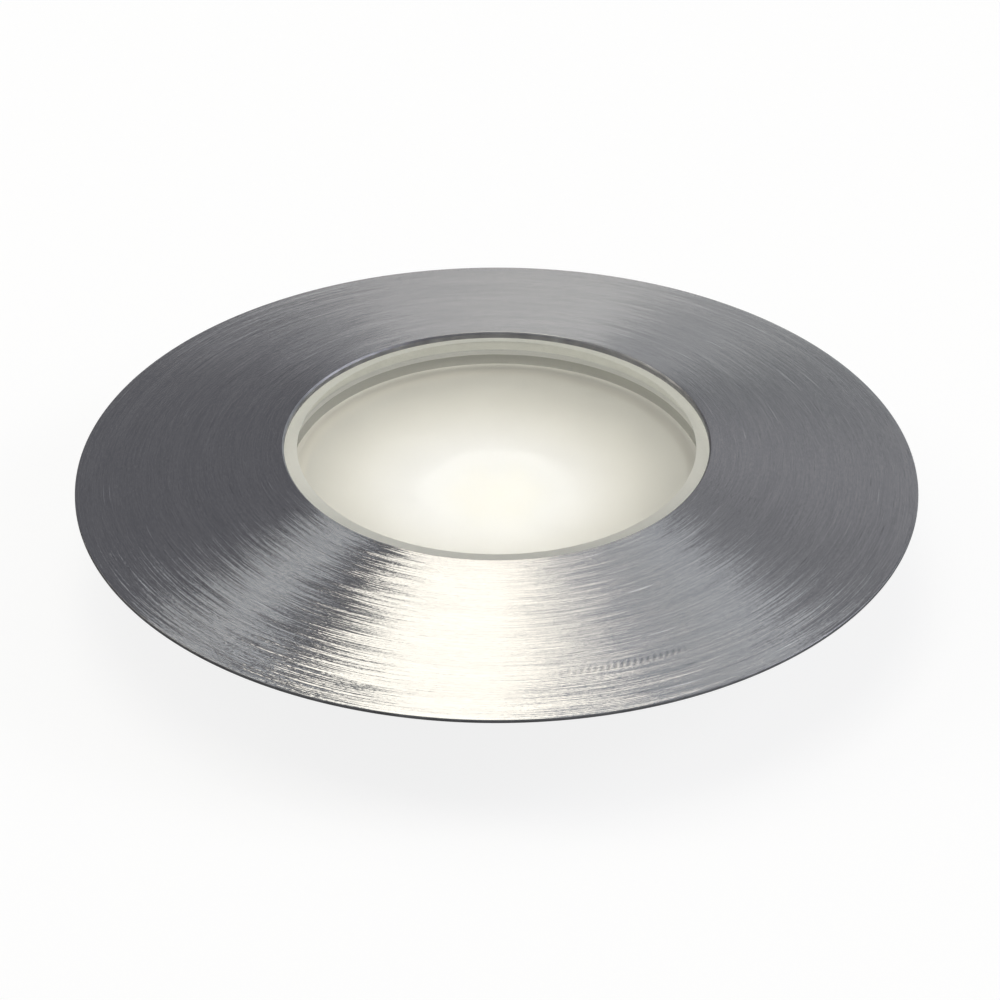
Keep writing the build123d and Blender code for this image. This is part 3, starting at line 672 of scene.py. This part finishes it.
@dataclass(frozen=True)
class Foam(Finish):
    """Closed-cell foam with its cut pores."""

    colour: Colour = (0.05, 0.05, 0.052)
    relief: float = 0.16 * MM

    def paint(self, graph: Graph, shader: Surface, place: Socket) -> None:
        """Pores of two sizes, darker inside as painted shade."""
        pores = graph.cells(place, 1500.0)
        small = graph.cells(place, 4200.0)
        depth = graph.math("MULTIPLY_ADD", small, 0.35, graph.math("MULTIPLY", pores, 0.65))
        # The walls between pores are lighter and the pore hollows darker: painted shade.
        wall = shade(self.colour, 2.0)
        shader["Base Color"] = graph.mix(graph.remap(depth, 0.15, 0.6), self.colour, wall)
        shader["Roughness"] = graph.remap(depth, 0.1, 0.6, 0.8, 0.95)
        shader["Normal"] = graph.bump(depth, self.relief)


@dataclass(frozen=True)
class SoftRubber(Finish):
    """Smooth silicone or rubber that has picked up a few specks."""

    colour: Colour = (0.075, 0.075, 0.08)
    roughness: float = 0.42

    def paint(self, graph: Graph, shader: Surface, place: Socket) -> None:
        """A slow unevenness, a faint flow pattern and dust."""
        flow = graph.noise(place, 500.0, 4.0)
        skin = graph.noise(place, 5200.0, 2.0)
        dust = graph.effect(settled_dust(), Vector=place, Amount=0.3).outputs[0]
        deep = shade(self.colour, 0.75)
        body = graph.mix(graph.spread(flow), deep, self.colour)
        shader["Base Color"] = graph.mix(dust, body, (0.40, 0.39, 0.37))
        rough = graph.spread(flow, self.roughness - 0.07, self.roughness + 0.08)
        shader["Roughness"] = rough
        shader["Normal"] = graph.bump(skin, self.relief)


@dataclass(frozen=True)
class MilledAluminium(Finish):
    """Rolled aluminium sheet, with its rolling lines."""

    def paint(self, graph: Graph, shader: Surface, place: Socket) -> None:
        """Long straight lines and a few handling marks."""
        rolling = graph.noise(graph.vector("MULTIPLY", place, (60.0, 3500.0, 60.0)), 1.0, 3.0, 0.6)
        marks = graph.remap(graph.noise(place, 220.0, 5.0, 0.7), 0.55, 0.7)
        tone = graph.mix(graph.spread(rolling), (0.68, 0.69, 0.70), (0.80, 0.80, 0.81))
        shader["Base Color"] = graph.mix(marks, tone, (0.6, 0.6, 0.61))
        shader["Metallic"] = 1.0
        shader["Roughness"] = graph.spread(rolling, 0.28, 0.42)
        shader["Normal"] = graph.bump(rolling, self.relief)


@dataclass(frozen=True)
class FoilPouch(Finish):
    """Aluminium laminate of a pouch cell, slightly creased, with its amber guard tape at the rear."""

    tape_from: float = 15.0 * MM
    relief: float = 0.6 * MM

    def paint(self, graph: Graph, shader: Surface, place: Socket) -> None:
        """Soft creases in the foil and a taped strip behind it."""
        creases = graph.noise(place, 130.0, 5.0, 0.6)
        weave = graph.noise(place, 3000.0, 2.0)
        behind = graph.remap(graph.parts(place)[1], self.tape_from, self.tape_from + 0.1 * MM)
        foil = graph.mix(graph.remap(creases, 0.35, 0.65), (0.56, 0.57, 0.59), (0.74, 0.75, 0.77))
        tape = graph.mix(weave, (0.42, 0.20, 0.03), (0.52, 0.27, 0.05))
        shader["Base Color"] = graph.mix(behind, foil, tape)
        shader["Metallic"] = graph.math("MULTIPLY", graph.math("SUBTRACT", 1.0, behind), 0.8)
        shader["Roughness"] = graph.spread(creases, 0.26, 0.4)
        shader["Normal"] = graph.bump(creases, self.relief)


@dataclass(frozen=True)
class BoardLacquer(Finish):
    """Solder mask over copper tracks."""

    mask: Colour = (0.02, 0.16, 0.07)
    track: Colour = (0.05, 0.27, 0.12)
    relief: float = 0.03 * MM

    def paint(self, graph: Graph, shader: Surface, place: Socket) -> None:
        """Square-cornered tracks that show through the lacquer as a lighter, raised pattern."""
        bricks = graph.put("ShaderNodeTexBrick", offset=0.37, offset_frequency=2, squash=1.4)
        graph.feed(bricks.inputs["Vector"], place)
        graph.feed(bricks.inputs["Scale"], 260.0)
        graph.feed(bricks.inputs["Mortar Size"], 0.045)
        graph.feed(bricks.inputs["Mortar Smooth"], 0.1)
        tracks = bricks.outputs[1]
        cloud = graph.noise(place, 700.0, 3.0)
        lacquer = graph.mix(cloud, shade(self.mask, 0.8), self.mask)
        shader["Base Color"] = graph.mix(tracks, lacquer, self.track)
        shader["Roughness"] = graph.spread(cloud, 0.22, 0.34)
        shader["Normal"] = graph.bump(tracks, self.relief)


# Shapes


@dataclass(frozen=True)
class Corner:
    """A corner of an outline: its radius and height in metres, and how far it is rounded."""

    r: float
    z: float
    ease: float = 0.0


def rounded(before: np.ndarray, corner: Corner, after: np.ndarray, steps: int = 6) -> np.ndarray:
    """The points of one corner.

    The arc touches both sides at ease / tan(half the inner angle) from the corner, and its points are
    the spherical mix (sin((1 - s) a) p + sin(s a) q) / sin a of its end radii p and q, turned by a.

    Args:
        before: The corner before this one, as (r, z).
        corner: The corner to round.
        after: The corner after this one, as (r, z).
        steps: How many stretches the arc has.

    Returns:
        The arc's points as rows of (r, z), or the bare corner where it isn't rounded.
    """
    here = np.array([corner.r, corner.z])
    if corner.ease == 0.0:
        return here[None, :]
    back = (before - here) / np.linalg.norm(before - here)
    ahead = (after - here) / np.linalg.norm(after - here)
    inner = math.acos(float(np.clip(back @ ahead, -1.0, 1.0)))
    reach = corner.ease / math.tan(inner / 2)
    turn = math.pi - inner
    centre = here + (back + ahead) / np.linalg.norm(back + ahead) * corner.ease / math.sin(inner / 2)
    first = here + back * reach - centre
    last = here + ahead * reach - centre
    s = np.linspace(0.0, 1.0, steps + 1)[:, None]
    return centre + (np.sin((1 - s) * turn) * first + np.sin(s * turn) * last) / math.sin(turn)


def outline(corners: Sequence[Corner], closed: bool, step: float) -> np.ndarray:
    """A dense outline through rounded corners.

    Args:
        corners: The corners, counter-clockwise with r to the right and z up.
        closed: Whether the last corner joins the first.
        step: The longest stretch between two points.

    Returns:
        Rows of (r, z). A closed outline doesn't repeat its first row.
    """
    spots = np.array([(c.r, c.z) for c in corners])
    rows = []
    for index, corner in enumerate(corners):
        inside = closed or 0 < index < len(corners) - 1
        after = spots[(index + 1) % len(corners)]
        rows.append(rounded(spots[index - 1], corner, after) if inside else spots[index][None, :])
    path = np.concatenate(rows)
    ends = np.roll(path, -1, axis=0) if closed else path[1:]
    starts = path if closed else path[:-1]
    counts = np.maximum(1, np.ceil(np.linalg.norm(ends - starts, axis=1) / step)).astype(int)
    filled = [a + (b - a) * np.arange(n)[:, None] / n for a, b, n in zip(starts, ends, counts)]
    return np.concatenate(filled if closed else [*filled, path[-1:]])


def piece_from(name: str, points: np.ndarray, faces: list, shading: Shading) -> Piece:
    """A new object at the origin from its points and faces, smooth where its surface is."""
    mesh = bpy.data.meshes.new(name)
    mesh.from_pydata(points.tolist(), [], faces)
    mesh.validate()
    mesh.shade_smooth()
    mesh.set_sharp_from_angle(angle=shading.value)
    piece = bpy.data.objects.new(name, mesh)
    bpy.context.scene.collection.objects.link(piece)
    return piece


def lathe(name: str, path: np.ndarray, closed: bool, turns: int = TURNS) -> Piece:
    """A solid of revolution: (r cos a, r sin a, z) for each (r, z) of the path and each angle a.

    Args:
        name: The piece's name.
        path: Rows of (r, z), counter-clockwise. An open path starts and ends on the axis.
        closed: Whether the path is a ring that keeps off the axis.
        turns: How many steps go round.

    Returns:
        The piece, closed, with its faces outwards.
    """
    angle = np.arange(turns) * 2 * math.pi / turns
    rows = path if closed else path[1:-1]
    grid = np.stack(
        (
            rows[:, :1] * np.cos(angle),
            rows[:, :1] * np.sin(angle),
            np.repeat(rows[:, 1:], turns, axis=1),
        ),
        axis=-1,
    )
    index = np.arange(len(rows) * turns).reshape(len(rows), turns)
    upper = np.roll(index, -1, axis=0) if closed else index[1:]
    lower = index if closed else index[:-1]
    quads = np.stack((lower, np.roll(lower, -1, axis=1), np.roll(upper, -1, axis=1), upper), axis=-1)
    faces = quads.reshape(-1, 4).tolist()
    points = grid.reshape(-1, 3)
    if not closed:
        bottom = np.full(turns, len(points))
        top = bottom + 1
        points = np.vstack((points, (0.0, 0.0, path[0, 1]), (0.0, 0.0, path[-1, 1])))
        faces += np.stack((bottom, np.roll(index[0], -1), index[0]), axis=-1).tolist()
        faces += np.stack((index[-1], np.roll(index[-1], -1), top), axis=-1).tolist()
    return piece_from(name, points, faces, Shading.TURNED)


def eased_copy(node: str, ease: float, shading: Shading = Shading.MOULDED) -> Piece:
    """A copy of a node's solid with its flat faces whole, its edges eased and its curves smooth.

    Args:
        node: The node to copy.
        ease: How wide the eased edges are, in metres. Zero leaves them sharp.
        shading: The angle past which an edge stays crisp.

    Returns:
        The copy, which stands for the node.
    """
    mesh = frame["nodes"][node].data.copy()
    work = bmesh.new()
    work.from_mesh(mesh)
    bmesh.ops.remove_doubles(work, verts=work.verts, dist=2e-6)
    bmesh.ops.dissolve_limit(work, angle_limit=math.radians(0.4), verts=work.verts, edges=work.edges)
    work.to_mesh(mesh)
    work.free()
    mesh.materials.clear()
    mesh.name = f"{node}_eased"
    mesh.shade_smooth()
    mesh.set_sharp_from_angle(angle=shading.value)
    piece = bpy.data.objects.new(f"{node}_eased", mesh)
    bpy.context.scene.collection.objects.link(piece)
    if ease > 0:
        modifier = piece.modifiers.new("eased_edges", "BEVEL")
        modifier.width = ease
        modifier.segments = 2
        modifier.limit_method = "ANGLE"
        modifier.angle_limit = math.radians(40)
    return piece


def dress(piece: Piece, finish: Finish) -> None:
    """Gives every face of a piece one finish."""
    if piece.material_slots:
        for slot in piece.material_slots:
            slot.material = finish.make()
    else:
        piece.data.materials.append(finish.make())


def dress_shaded_faces(piece: Piece, finish: Finish, least_rise: float = 0.85) -> None:
    """Gives a second finish to the faces of a piece that don't look upwards.

    Args:
        piece: The piece, which already has its first finish.
        finish: The darker finish of its cut edges and its underside, painted shade on them.
        least_rise: The z of the least upward normal that keeps the first finish.
    """
    faces = piece.data.polygons
    normals = np.empty(len(faces) * 3)
    faces.foreach_get("normal", normals)
    piece.data.materials.append(finish.make())
    faces.foreach_set("material_index", (normals[2::3] < least_rise).astype(np.int32))


def fit(piece: Piece, node: str, finish: Finish) -> None:
    """Makes a new piece stand for a node: it rides on the node's body, and the node is hidden.

    Args:
        piece: The new piece.
        node: The node that it stands for.
        finish: What its surface is.
    """
    dress(piece, finish)
    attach(piece, BODY_OF[node])
    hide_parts(node)
    log.info("%s stands for %s with %d faces", piece.name, node, len(piece.data.polygons))


def dress_node(node: str, finish: Finish) -> None:
    """Gives a node that is carried over as it is its finish."""
    dress(frame["nodes"][node], finish)
    log.info("%s is carried over as %s", node, finish.name)


def low_high(node: str) -> tuple[float, float]:
    """A node's lowest and highest z."""
    low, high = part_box(node)
    return low.z, high.z


def reach(node: str) -> float:
    """The radius of a round node, from the side of its box that is nearest to the axis."""
    low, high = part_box(node)
    return min(-low.x, high.x, -low.y, high.y)


# Sub-assemblies


@dataclass
class TrimRing:
    """The brushed ring, with the bosses and screws that hold it."""

    lip_radius: float = 37.75 * MM
    lip_chamfer: float = 0.3 * MM
    rim_edge: float = 0.6 * MM
    sheet: float = 1.2 * MM
    edge_ease: float = 0.2 * MM
    lip_ease: float = 0.08 * MM

    def cone(self, radius: float, deck: float, top: float, rim: float) -> float:
        """Height of the ring's upper side at a radius."""
        crest = self.lip_radius + self.lip_chamfer
        slope = (top - deck - self.rim_edge) / (rim - crest)
        return top - (radius - crest) * slope

    def build(self) -> None:
        """Spins the ring and dresses its bosses and screws."""
        deck, top = low_high("trim_ring")
        rim = reach("trim_ring")
        crest = self.lip_radius + self.lip_chamfer
        slope = (top - deck - self.rim_edge) / (rim - crest)
        drop = self.sheet * math.hypot(1.0, slope)
        under = self.cone(self.lip_radius, deck, top, rim) - drop
        foot = crest + (top - drop - deck) / slope
        corners = (
            Corner(rim, deck, 0.06 * MM),
            Corner(rim, deck + self.rim_edge, self.edge_ease),
            Corner(crest, top, self.lip_ease),
            Corner(self.lip_radius, top - self.lip_chamfer, self.lip_ease),
            Corner(self.lip_radius, under, 0.05 * MM),
            Corner(foot, deck),
        )
        ring = lathe("trim_ring_spun", outline(corners, True, 1.0 * MM), True)
        fit(ring, "trim_ring", TurnedSteel("brushed_ring"))
        # The ring's rim edge, lip wall and underside get darker steel as painted shade.
        dress_shaded_faces(ring, ShadeDarkenedSteel("edge_steel_painted_shade"))
        dress_node("trim_bosses", DrawnSteel("boss_steel_turned", stretch=(900.0, 900.0, 5000.0)))
        dress_node("trim_screws", DrawnSteel("screw_steel_bright", light=(0.7, 0.7, 0.7), roughness=0.22))


@dataclass
class LensStack:
    """The bevelled glass, its gasket and the satin plate."""

    bevel_width: float = 4.1 * MM
    bevel_rise: float = 1.45 * MM
    arris: float = 0.3 * MM
    gasket_floor: float = 1.0 * MM
    gasket_well: float = 36.6 * MM
    plate_ease: float = 0.2 * MM

    def build(self) -> None:
        """Turns the three round pieces from their outlines."""
        self.glass()
        self.gasket()
        self.plate()

    def glass(self) -> None:
        """The glass: a disc with a broad ground bevel and narrow arrises."""
        bottom, top = low_high("lens_glass")
        radius = reach("lens_glass")
        inner = radius - self.bevel_width
        corners = (
            Corner(0.0, bottom),
            Corner(radius - self.arris, bottom, 0.05 * MM),
            Corner(radius, bottom + self.arris, 0.05 * MM),
            Corner(radius, top - self.bevel_rise, 0.15 * MM),
            Corner(inner, top, 0.12 * MM),
            Corner(0.0, top),
        )
        piece = lathe("lens_glass_ground", outline(corners, False, 1.5 * MM), False)
        finish = BevelledGlass(
            "bevelled_glass", bevel_inner=inner, bevel_height=top - self.bevel_rise - 0.1 * MM
        )
        fit(piece, "lens_glass", finish)

    def gasket(self) -> None:
        """The gasket: a wall round the glass and a floor under its edge."""
        bottom, top = low_high("lens_gasket")
        outer = reach("lens_gasket")
        inner = reach("lens_glass") + 0.05 * MM
        floor = bottom + self.gasket_floor
        slope = TrimRing().cone(outer, *low_high("trim_ring"), reach("trim_ring"))
        drop = slope - TrimRing().cone(inner, *low_high("trim_ring"), reach("trim_ring"))
        corners = (
            Corner(self.gasket_well, bottom, 0.1 * MM),
            Corner(outer, bottom, 0.1 * MM),
            Corner(outer, top + drop, 0.1 * MM),
            Corner(inner, top, 0.1 * MM),
            Corner(inner, floor),
            Corner(self.gasket_well, floor, 0.2 * MM),
        )
        piece = lathe("lens_gasket_moulded", outline(corners, True, 1.0 * MM), True)
        fit(piece, "lens_gasket", MilkySilicone("milky_silicone"))

    def plate(self) -> None:
        """The satin plate, with its upper edge broken."""
        bottom, top = low_high("diffuser_plate")
        radius = reach("diffuser_plate")
        corners = (
            Corner(0.0, bottom),
            Corner(radius, bottom, 0.05 * MM),
            Corner(radius, top, self.plate_ease),
            Corner(0.0, top),
        )
        piece = lathe("diffuser_plate_satin", outline(corners, False, 1.5 * MM), False)
        fit(piece, "diffuser_plate", SatinPlate("satin_plate"))


@dataclass
class LightEngine:
    """The white bowl, the light board and its emitters, and the plate that carries their heat."""

    bowl_wall: float = 1.0 * MM
    bowl_throat: float = 13.0 * MM
    bowl_rim: float = 34.0 * MM
    bowl_flange: float = 34.8 * MM

    def build(self) -> None:
        """Turns the bowl and dresses what is under it."""
        bottom, top = low_high("reflector_bowl")
        outer = reach("reflector_bowl")
        corners = (
            Corner(self.bowl_throat, bottom, 0.1 * MM),
            Corner(self.bowl_flange, top - self.bowl_wall, 0.4 * MM),
            Corner(outer, top - self.bowl_wall, 0.1 * MM),
            Corner(outer, top, 0.1 * MM),
            Corner(self.bowl_rim, top, 0.5 * MM),
            Corner(self.bowl_throat, bottom + self.bowl_wall, 0.2 * MM),
        )
        bowl = lathe("reflector_bowl_moulded", outline(corners, True, 0.8 * MM), True)
        # The bowl and the board glow with a painted pool of light round the emitters.
        fit(bowl, "reflector_bowl", LitWhite("lit_bowl"))
        lit = {"colour": (0.9, 0.9, 0.87), "glow": (0.88, 0.87, 0.84), "hot": (0.87, 0.88, 0.94)}
        dress_node("led_board", LitWhite("lit_board", **lit))
        dress_node("led_chips", Phosphor("phosphor"))
        dress_node("led_board_screws", DrawnSteel("screw_steel_small", roughness=0.24))
        dress_node("heat_spreader", MilledAluminium("rolled_aluminium"))
        dress_node("led_leads", SoftRubber("white_sheath", colour=(0.78, 0.78, 0.76), roughness=0.35))


@dataclass
class Shell:
    """The moulded housing, the base cover and what seals them."""

    mould_ease: float = 0.22 * MM
    foam_inner: float = 51.08 * MM
    lining: Colour = (0.6, 0.598, 0.55)

    def build(self) -> None:
        """Eases the moulded pieces' edges, turns the foam ring, and dresses the seal and the screws."""
        housing = eased_copy("housing", self.mould_ease)
        fit(housing, "housing", MouldedPlastic("moulded_housing", lining=self.lining))
        cover = eased_copy("base_cover", self.mould_ease)
        fit(cover, "base_cover", MouldedPlastic("moulded_cover", grain=3200.0))
        self.foam()
        dress_node("base_seal", SoftRubber("seal_rubber_smooth", colour=(0.1, 0.1, 0.1), roughness=0.5))
        dress_node("base_screws", DrawnSteel("screw_steel_long", roughness=0.26))

    def foam(self) -> None:
        """The foam ring under the flange, a little bulged at its cut edges."""
        bottom, top = low_high("deck_gasket")
        outer = reach("deck_gasket")
        corners = (
            Corner(self.foam_inner, bottom, 0.25 * MM),
            Corner(outer, bottom, 0.25 * MM),
            Corner(outer, top, 0.25 * MM),
            Corner(self.foam_inner, top, 0.25 * MM),
        )
        ring = lathe("deck_gasket_foam", outline(corners, True, 0.6 * MM), True)
        fit(ring, "deck_gasket", Foam("foam_ring"))


@dataclass
class PowerPack:
    """The cell with its pad and leads, and the control board with what it carries."""

    def build(self) -> None:
        """Dresses the pieces inside the housing."""
        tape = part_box("battery_cell")[1].y - 2.5 * MM
        dress_node("battery_cell", FoilPouch("foil_pouch", tape_from=tape))
        dress_node("battery_pad", Foam("foam_pad", colour=(0.08, 0.08, 0.085)))
        dress_node("battery_leads", SoftRubber("red_sheath", colour=(0.42, 0.03, 0.025), roughness=0.35))
        cream = {"colour": (0.80, 0.74, 0.58), "rubbed": (0.85, 0.8, 0.68), "dust": 0.0}
        dress_node("battery_connector", MouldedPlastic("cream_plastic", **cream))
        dress_node("control_board", BoardLacquer("green_board"))
        dress_node("board_screws", DrawnSteel("screw_steel_board", roughness=0.25))
        black = MouldedPlastic("chip_resin", colour=(0.05, 0.05, 0.052), grain=6000.0, dust=0.0)
        dress_node("charger_parts", black)
        dress_node("button_switch", black)
        dress_node("charge_socket", DrawnSteel("drawn_shell", stretch=(6000.0, 300.0, 6000.0)))


@dataclass
class RearPanel:
    """The power button and the port plug with its anchor, all of silicone."""

    ease: float = 0.12 * MM

    def build(self) -> None:
        """Eases the edges of what a finger meets."""
        silicone = SoftRubber("button_silicone_black")
        for node in ("power_button", "port_plug"):
            fit(eased_copy(node, self.ease), node, silicone)
        dress_node("plug_anchor", silicone)


@dataclass
class SpringClips:
    """The three leaf clips that grip the edge of the hole."""

    count: int = 3
    first_angle: float = math.radians(-90)
    ease: float = 0.06 * MM

    def build(self) -> None:
        """Gives each strip lines along its own length and eased edges."""
        for index in range(self.count):
            angle = self.first_angle + index * 2 * math.pi / self.count
            node = f"spring_clip_{index + 1}"
            finish = DrawnSteel(f"spring_strip_{index + 1}", dark=(0.36, 0.36, 0.37), turn=angle)
            fit(eased_copy(node, self.ease), node, finish)


# Studio


@dataclass(frozen=True)
class Softbox:
    """A soft lamp: its place and size in metres, its power, its colour, its aim and its turn."""

    name: str
    place: tuple[float, float, float]
    size: tuple[float, float]
    power: float
    colour: Colour = (1.0, 1.0, 1.0)
    aim: tuple[float, float, float] = (0.0, 0.0, 0.02)
    turn: float = 0.0

    def hang(self) -> None:
        """Makes the lamp, points it, and turns it about its own beam."""
        data = bpy.data.lights.new(self.name, "AREA")
        data.shape = "RECTANGLE"
        data.size, data.size_y = self.size
        data.energy = self.power
        data.color = self.colour
        lamp = bpy.data.objects.new(self.name, data)
        bpy.context.scene.collection.objects.link(lamp)
        away = Vector(self.place) - Vector(self.aim)
        lamp.location = self.place
        lamp.visible_camera = False
        lamp.rotation_mode = "QUATERNION"
        lamp.rotation_quaternion = away.to_track_quat("Z", "Y") @ Quaternion((0, 0, 1), self.turn)


@dataclass
class Studio:
    """The camera, the pale floor, the surroundings and the lamps."""

    elevation: float = math.radians(32.55)
    distance: float = 1.5
    target: tuple[float, float, float] = (0.0006, -0.01205, 0.025)
    lens: float = 306.1
    floor_radius: float = 6.0
    floor_colour: Colour = (0.2, 0.2, 0.2)
    floor_lift: float = 0.85
    floor_thickness: float = 1.0 * MM
    # The floor's lift for glossy rays fades in between these radii: a painted shadow round the lamp in
    # reflections.
    mirrored_from: float = 0.12
    mirrored_to: float = 0.5
    walls: Colour = (0.159, 0.160, 0.177)
    sill: Colour = (1.55, 1.68, 1.65)
    sill_side: tuple[float, float] = (-0.2, 0.9)
    sill_rise: tuple[float, float] = (0.02, 0.30)
    ceiling: float = 2.2

    def lamps(self) -> tuple[Softbox, ...]:
        """Softboxes overhead and behind, fills at the sides, and one lamp under the floor."""
        high = self.ceiling
        return (
            self.flat("overhead", (-0.30, 0.0, high), (1.35, 1.6), 13.8, -27, (1.0, 1.0, 0.9)),
            self.flat("key", (-0.10, 1.25, high), (0.65, 1.6), 6.3, -18, (1.0, 0.93, 0.81)),
            self.flat("key_right", (0.22, 1.25, high), (0.6, 1.6), 0.8, 10, (0.57, 0.73, 1.0)),
            self.flat("key_far_right", (0.75, 1.35, high), (0.7, 1.5), 1.05, 25, (0.92, 0.99, 1.0)),
            self.flat("key_left", (-0.95, 1.35, high), (0.35, 1.5), 1.05, -18, (0.92, 0.97, 1.0)),
            Softbox("high_right", (0.6, 1.68, 1.88), (0.35, 0.8), 0.25, (0.95, 0.97, 1.0)),
            Softbox("rear", (0.06, 2.8, 0.7), (0.9, 0.9), 0.5, (0.97, 0.98, 1.0)),
            Softbox("rear_low", (0.0, 2.8, 0.5), (0.5, 0.5), 0.4, (1.0, 0.98, 0.95)),
            Softbox("rear_right", (0.9, 2.3, 1.3), (0.9, 0.9), 0.45, (0.96, 0.96, 1.0)),
            Softbox("left_fill", (-2.35, 0.5, 1.9), (0.8, 1.5), 11.0, (1.0, 0.95, 0.8)),
            Softbox("right_fill", (2.5, 0.0, 1.6), (1.4, 1.2), 22.0, (0.92, 0.92, 1.0)),
            Softbox("under", (0.5, 0.6, -1.3), (2.4, 2.4), 12.0, (1.0, 1.0, 1.0)),
        )

    def flat(
        self,
        name: str,
        place: tuple[float, float, float],
        size: tuple[float, float],
        power: float,
        turn: float,
        colour: Colour,
    ) -> Softbox:
        """A softbox that looks straight down, turned by some degrees about its own beam."""
        under = (place[0], place[1], 0.0)
        return Softbox(name, place, size, power, colour, under, math.radians(turn))

    def camera(self) -> None:
        """The camera, at the photograph's angle."""
        data = bpy.data.cameras.new("camera")
        data.lens = self.lens
        data.sensor_width = 36.0
        data.clip_start = 0.05
        data.clip_end = 30.0
        camera = bpy.data.objects.new("camera", data)
        bpy.context.scene.collection.objects.link(camera)
        back = (0.0, -math.cos(self.elevation), math.sin(self.elevation))
        camera.location = [t + self.distance * b for t, b in zip(self.target, back)]
        camera.rotation_euler = (math.pi / 2 - self.elevation, 0.0, 0.0)
        bpy.context.scene.camera = camera

    def build(self) -> None:
        """The floor, the surroundings and the lamps."""
        bpy.context.scene.view_settings.view_transform = "Standard"
        self.floor()
        self.surroundings()
        for lamp in self.lamps():
            lamp.hang()

    def floor(self) -> None:
        """A pale floor that keeps a soft shadow, shows glossy rays a painted shadow round the lamp, and
        lets light and views from below through.
        """
        far, low = self.floor_radius, -self.floor_thickness
        path = np.array([(0.0, low), (far, low), (far, 0.0), (0.0, 0.0)])
        floor = lathe("floor", path, False, 128)
        material = bpy.data.materials.new("pale_floor")
        material.use_nodes = True
        graph = Graph(material.node_tree)
        graph.tree.nodes.clear()
        paint = graph.put("ShaderNodeBsdfDiffuse")
        graph.feed(paint.inputs["Color"], self.floor_colour)
        seen = graph.put("ShaderNodeEmission")
        path_of = graph.put("ShaderNodeLightPath")
        place = graph.put("ShaderNodeTexCoord").outputs["Object"]
        # Glossy rays see the floor's lift only away from the lamp, a painted shadow that darkens the ring's
        # rim.
        away = graph.remap(graph.vector("LENGTH", place), self.mirrored_from, self.mirrored_to)
        looks = graph.math("ADD", path_of.outputs["Is Camera Ray"], path_of.outputs["Is Transmission Ray"])
        mirrored = graph.math("MULTIPLY", path_of.outputs["Is Glossy Ray"], away)
        looks = graph.math("ADD", looks, mirrored, clamp=True)
        graph.feed(seen.inputs["Strength"], graph.math("MULTIPLY", looks, self.floor_lift))
        both = graph.put("ShaderNodeAddShader")
        graph.feed(both.inputs[0], paint.outputs[0])
        graph.feed(both.inputs[1], seen.outputs[0])
        through = graph.put("ShaderNodeBsdfTransparent")
        choice = graph.put("ShaderNodeMixShader")
        hidden = graph.math("LESS_THAN", graph.parts(place)[2], low / 2)
        below = graph.put("ShaderNodeNewGeometry").outputs["Backfacing"]
        unseen = graph.math("MAXIMUM", hidden, below)
        graph.feed(choice.inputs[0], graph.math("MAXIMUM", unseen, path_of.outputs["Is Shadow Ray"]))
        graph.feed(choice.inputs[1], both.outputs[0])
        graph.feed(choice.inputs[2], through.outputs[0])
        graph.feed(graph.put("ShaderNodeOutputMaterial").inputs["Surface"], choice.outputs[0])
        floor.data.materials.append(material)

    def surroundings(self) -> None:
        """White to the camera, and to the lamp grey walls with a low bright sill on the right."""
        world = bpy.data.worlds.new("studio")
        bpy.context.scene.world = world
        world.use_nodes = True
        graph = Graph(world.node_tree)
        graph.tree.nodes.clear()
        direction = graph.put("ShaderNodeTexCoord").outputs["Generated"]
        right, _, rise = graph.parts(direction)
        side = graph.remap(right, *self.sill_side)
        low = graph.math("MULTIPLY", graph.remap(rise, *self.sill_rise, 1.0, 0.0), side)
        tone = graph.vector("ADD", graph.vector("SCALE", self.sill, low), self.walls)
        camera_ray = graph.put("ShaderNodeLightPath").outputs["Is Camera Ray"]
        light = graph.put("ShaderNodeBackground")
        graph.feed(light.inputs["Color"], graph.mix(camera_ray, tone, (1.0, 1.0, 1.0)))
        graph.feed(graph.put("ShaderNodeOutputWorld").inputs["Surface"], light.outputs[0])


def main() -> None:
    """Builds the studio and dresses the lamp, sub-assembly by sub-assembly."""
    logging.basicConfig(level=logging.INFO, format="%(name)s: %(message)s")
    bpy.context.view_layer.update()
    studio = Studio()
    studio.camera()
    assemblies = (TrimRing, LensStack, LightEngine, Shell, PowerPack, RearPanel, SpringClips)
    for assembly in (kind() for kind in assemblies):
        assembly.build()
        log.info("%s is done", type(assembly).__name__)
    studio.build()


if __name__ == "__main__":
    main()
